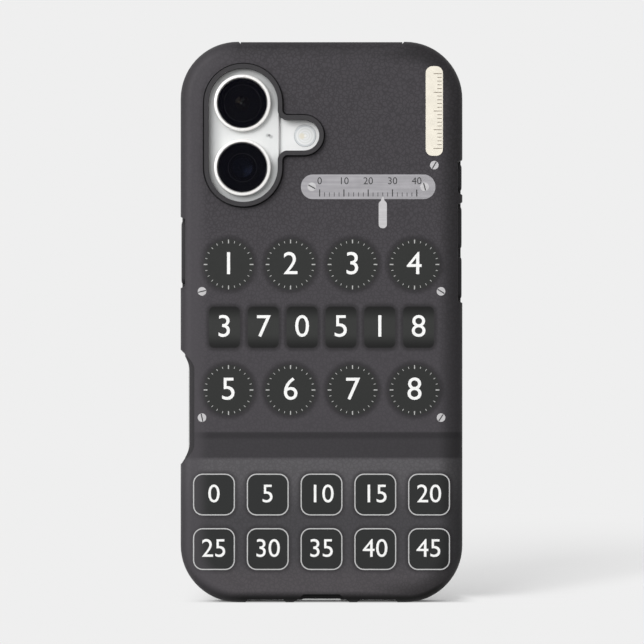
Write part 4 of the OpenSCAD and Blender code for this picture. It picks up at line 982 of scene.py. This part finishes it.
def on_back(x, z, lift=0.0, turn=0.0):
    """Place on the shell's back at x and z from its middle: a part's z comes to face out."""
    return (Matrix.Translation((x, -INK_LIFT - lift, CENTRE_HEIGHT + z))
            @ Matrix.Rotation(turn, 4, "Y") @ Matrix.Rotation(math.radians(90), 4, "X"))


def raise_faces(part, thick):
    """Gives the flat faces of a part their thickness."""
    raised = bmesh.ops.extrude_face_region(part, geom=part.faces[:], use_keep_orig=True)
    verts = [v for v in raised["geom"] if isinstance(v, bmesh.types.BMVert)]
    bmesh.ops.translate(part, vec=(0, 0, thick), verts=verts)


def keep_rim(part, frame_w):
    """Leaves only a frame of that width along the outline of a flat part."""
    middle = bmesh.ops.inset_region(part, faces=part.faces[:], thickness=frame_w,
                                    use_even_offset=True, use_boundary=True)
    rim = set(middle["faces"])
    bmesh.ops.delete(part, geom=[f for f in part.faces if f not in rim], context="FACES_ONLY")


def add_bar(bm, w, h, r, place, frame_w=0.0, thick=INK_T):
    """Flat bar, w by h, with corners of radius r; frame_w leaves only a frame of that width."""
    part = bmesh.new()
    bmesh.ops.create_grid(part, x_segments=1, y_segments=1, size=0.5)
    bmesh.ops.scale(part, vec=(w, h, 1), verts=part.verts)
    if r:
        bmesh.ops.bevel(part, geom=part.verts[:], offset=r, offset_type="OFFSET", segments=8,
                        profile=0.5, material=-1, affect="VERTICES")
    if frame_w:
        keep_rim(part, frame_w)
    raise_faces(part, thick)
    add(bm, part, place)


def add_disc(bm, r, place, segments=32, thick=INK_T):
    """Flat disc."""
    part = bmesh.new()
    bmesh.ops.create_circle(part, cap_ends=True, segments=segments, radius=r)
    raise_faces(part, thick)
    add(bm, part, place)


def finish_print(bm, name, material):
    """Wraps a print round the shell and makes it a piece."""
    lay(bm)
    bmesh.ops.recalc_face_normals(bm, faces=bm.faces)
    return put(bm, name, material)


def numerals(name, texts, size, material, lift=0.0):
    """Plain numbers, each a text and its middle in x and z, as one flat piece."""
    bm = bmesh.new()
    for text, x, z in texts:
        curve = bpy.data.curves.new(name, "FONT")
        curve.body = text
        curve.size = size
        curve.align_x = "CENTER"
        curve.align_y = "CENTER"
        curve.resolution_u = 4
        curve.extrude = INK_T / 2
        holder = bpy.data.objects.new(name, curve)
        scene.collection.objects.link(holder)
        bpy.context.view_layer.update()
        mesh = holder.to_mesh()
        mesh.transform(on_back(x, z, lift))
        bm.from_mesh(mesh)
        holder.to_mesh_clear()
        bpy.data.objects.remove(holder)
        bpy.data.curves.remove(curve)
    bmesh.ops.remove_doubles(bm, verts=bm.verts, dist=0.001 * MM)
    return finish_print(bm, name, material)


def grid(pitch, columns, rows):
    """Middles of a straight grid, row by row."""
    return [((column - (columns - 1) / 2) * pitch, row)
            for row in rows for column in range(columns)]


dials = grid(DIAL_PITCH, DIAL_COLUMNS, DIAL_ROWS)
drums = grid(DRUM_PITCH, DRUM_COLUMNS, (DRUM_ROW,))
windows = grid(WINDOW_PITCH, WINDOW_COLUMNS, WINDOW_ROWS)
DRUM_DIGITS = "370518"
WINDOW_COUNT_STEP = 5
DIAL_TEXT, DRUM_TEXT, WINDOW_TEXT, SCALE_TEXT = 8.6 * MM, 8.4 * MM, 6.9 * MM, 2.7 * MM
numerals("dial_numbers", [(str(i + 1), x, z) for i, (x, z) in enumerate(dials)],
         DIAL_TEXT, white_ink)
numerals("drum_digits", [(digit, x, z) for digit, (x, z) in zip(DRUM_DIGITS, drums)],
         DRUM_TEXT, white_ink)
numerals("window_numbers",
         [(str(i * WINDOW_COUNT_STEP), x, z) for i, (x, z) in enumerate(windows)],
         WINDOW_TEXT, white_ink)
ticks = bmesh.new()
TICK_R = 6.15 * MM
TICKS = 24
TICKS_PER_LONG = 6
FINE_LINE = 0.16 * MM
LONG_TICK, SHORT_TICK = (0.3 * MM, 1.0 * MM), (FINE_LINE, 0.55 * MM)
for x, z in dials:
    for step in range(TICKS):
        angle = step * math.tau / TICKS
        tick_w, tick_l = SHORT_TICK if step % TICKS_PER_LONG else LONG_TICK
        place = on_back(x + TICK_R * math.sin(angle), z + TICK_R * math.cos(angle), turn=angle)
        add_bar(ticks, tick_w, tick_l, 0, place)
finish_print(ticks, "dial_ticks", pale_ink)
WINDOW_FRAME_W = 0.3 * MM
frames = bmesh.new()
for x, z in windows:
    add_bar(frames, WINDOW_W, WINDOW_W, WINDOW_R, on_back(x, z), frame_w=WINDOW_FRAME_W)
finish_print(frames, "window_frames", ring_ink)

SCALE_X, SCALE_Z = 12.5 * MM, 36.2 * MM
SCALE_W, SCALE_H, SCALE_R = 36 * MM, 6.6 * MM, 3.2 * MM
SCALE_MARKS = 21
MARKS_PER_LONG = 5
MARK_STEP = 1.3 * MM
MARK_FOOT = 2.6 * MM
LONG_MARK, SHORT_MARK = (0.28 * MM, 1.9 * MM), (FINE_LINE, 1.1 * MM)
NUMBER_LIFT = 1.5 * MM
plate = bmesh.new()
add_bar(plate, SCALE_W, SCALE_H, SCALE_R, on_back(SCALE_X, SCALE_Z))
finish_print(plate, "scale_plate", silver_ink)
marks = bmesh.new()
for step in range(SCALE_MARKS):
    mark_w, mark_l = SHORT_MARK if step % MARKS_PER_LONG else LONG_MARK
    mark_x = SCALE_X + (step - SCALE_MARKS // 2) * MARK_STEP
    add_bar(marks, mark_w, mark_l, 0,
            on_back(mark_x, SCALE_Z - MARK_FOOT + mark_l / 2, INK_T))
finish_print(marks, "scale_marks", black_ink)
numerals("scale_numbers",
         [(str(i * 10), SCALE_X + (i - 2) * MARKS_PER_LONG * MARK_STEP, SCALE_Z + NUMBER_LIFT)
          for i in range(5)], SCALE_TEXT, black_ink, lift=INK_T)

POINTER_X = SCALE_X + 3 * MARK_STEP
POINTER_W, POINTER_L, POINTER_R = 2.2 * MM, 7.4 * MM, 1.0 * MM
TIP_R, TIP_DOWN, TIP_STRETCH = 1.1 * MM, 4.0 * MM, 1.6
pointer = bmesh.new()
add_bar(pointer, POINTER_W, POINTER_L, POINTER_R, on_back(POINTER_X, SCALE_Z - POINTER_L))
part = bmesh.new()
bmesh.ops.create_circle(part, cap_ends=True, segments=3, radius=TIP_R)
bmesh.ops.scale(part, vec=(1, TIP_STRETCH, 1), verts=part.verts)
raise_faces(part, INK_T)
add(pointer, part, on_back(POINTER_X, SCALE_Z - TIP_DOWN, INK_T))
finish_print(pointer, "scale_pointer", bright_ink)

GAUGE_X, GAUGE_Z = 30.2 * MM, 56.5 * MM
GAUGE_W, GAUGE_H, GAUGE_R = 4.6 * MM, 24 * MM, 1.8 * MM
GAUGE_MARKS = 21
GAUGE_STEP = 1 * MM
GAUGE_MARGIN = 0.3 * MM
GAUGE_LONG, GAUGE_SHORT = 2.2 * MM, 1.2 * MM
gauge = bmesh.new()
add_bar(gauge, GAUGE_W, GAUGE_H, GAUGE_R, on_back(GAUGE_X, GAUGE_Z))
finish_print(gauge, "gauge_bar", cream_ink)
marks = bmesh.new()
for step in range(GAUGE_MARKS):
    mark_l = GAUGE_SHORT if step % MARKS_PER_LONG else GAUGE_LONG
    mark_z = GAUGE_Z + (step - GAUGE_MARKS // 2) * GAUGE_STEP
    add_bar(marks, mark_l, FINE_LINE, 0,
            on_back(GAUGE_X + GAUGE_W / 2 - mark_l / 2 - GAUGE_MARGIN, mark_z, INK_T))
finish_print(marks, "gauge_marks", brown_ink)

# screw heads at both ends of the scale, under the gauge and outside the dials, in mm
SCREWS = ((-2.6, 36.2), (27.6, 36.2), (30.2, 42.0), (-32, 8.2), (32, 8.2), (-32, -25.6),
          (32, -25.6))
HEAD_R = 1.15 * MM
SLOT_L, SLOT_W = 2.1 * MM, 0.3 * MM
heads = bmesh.new()
slots = bmesh.new()
for turn, (x, z) in enumerate(SCREWS):
    add_disc(heads, HEAD_R, on_back(x * MM, z * MM, INK_T))
    add_bar(slots, SLOT_L, SLOT_W, 0, on_back(x * MM, z * MM, 2 * INK_T, turn=0.5 + 0.8 * turn))
finish_print(heads, "screw_heads", bright_ink)
finish_print(slots, "screw_slots", black_ink)
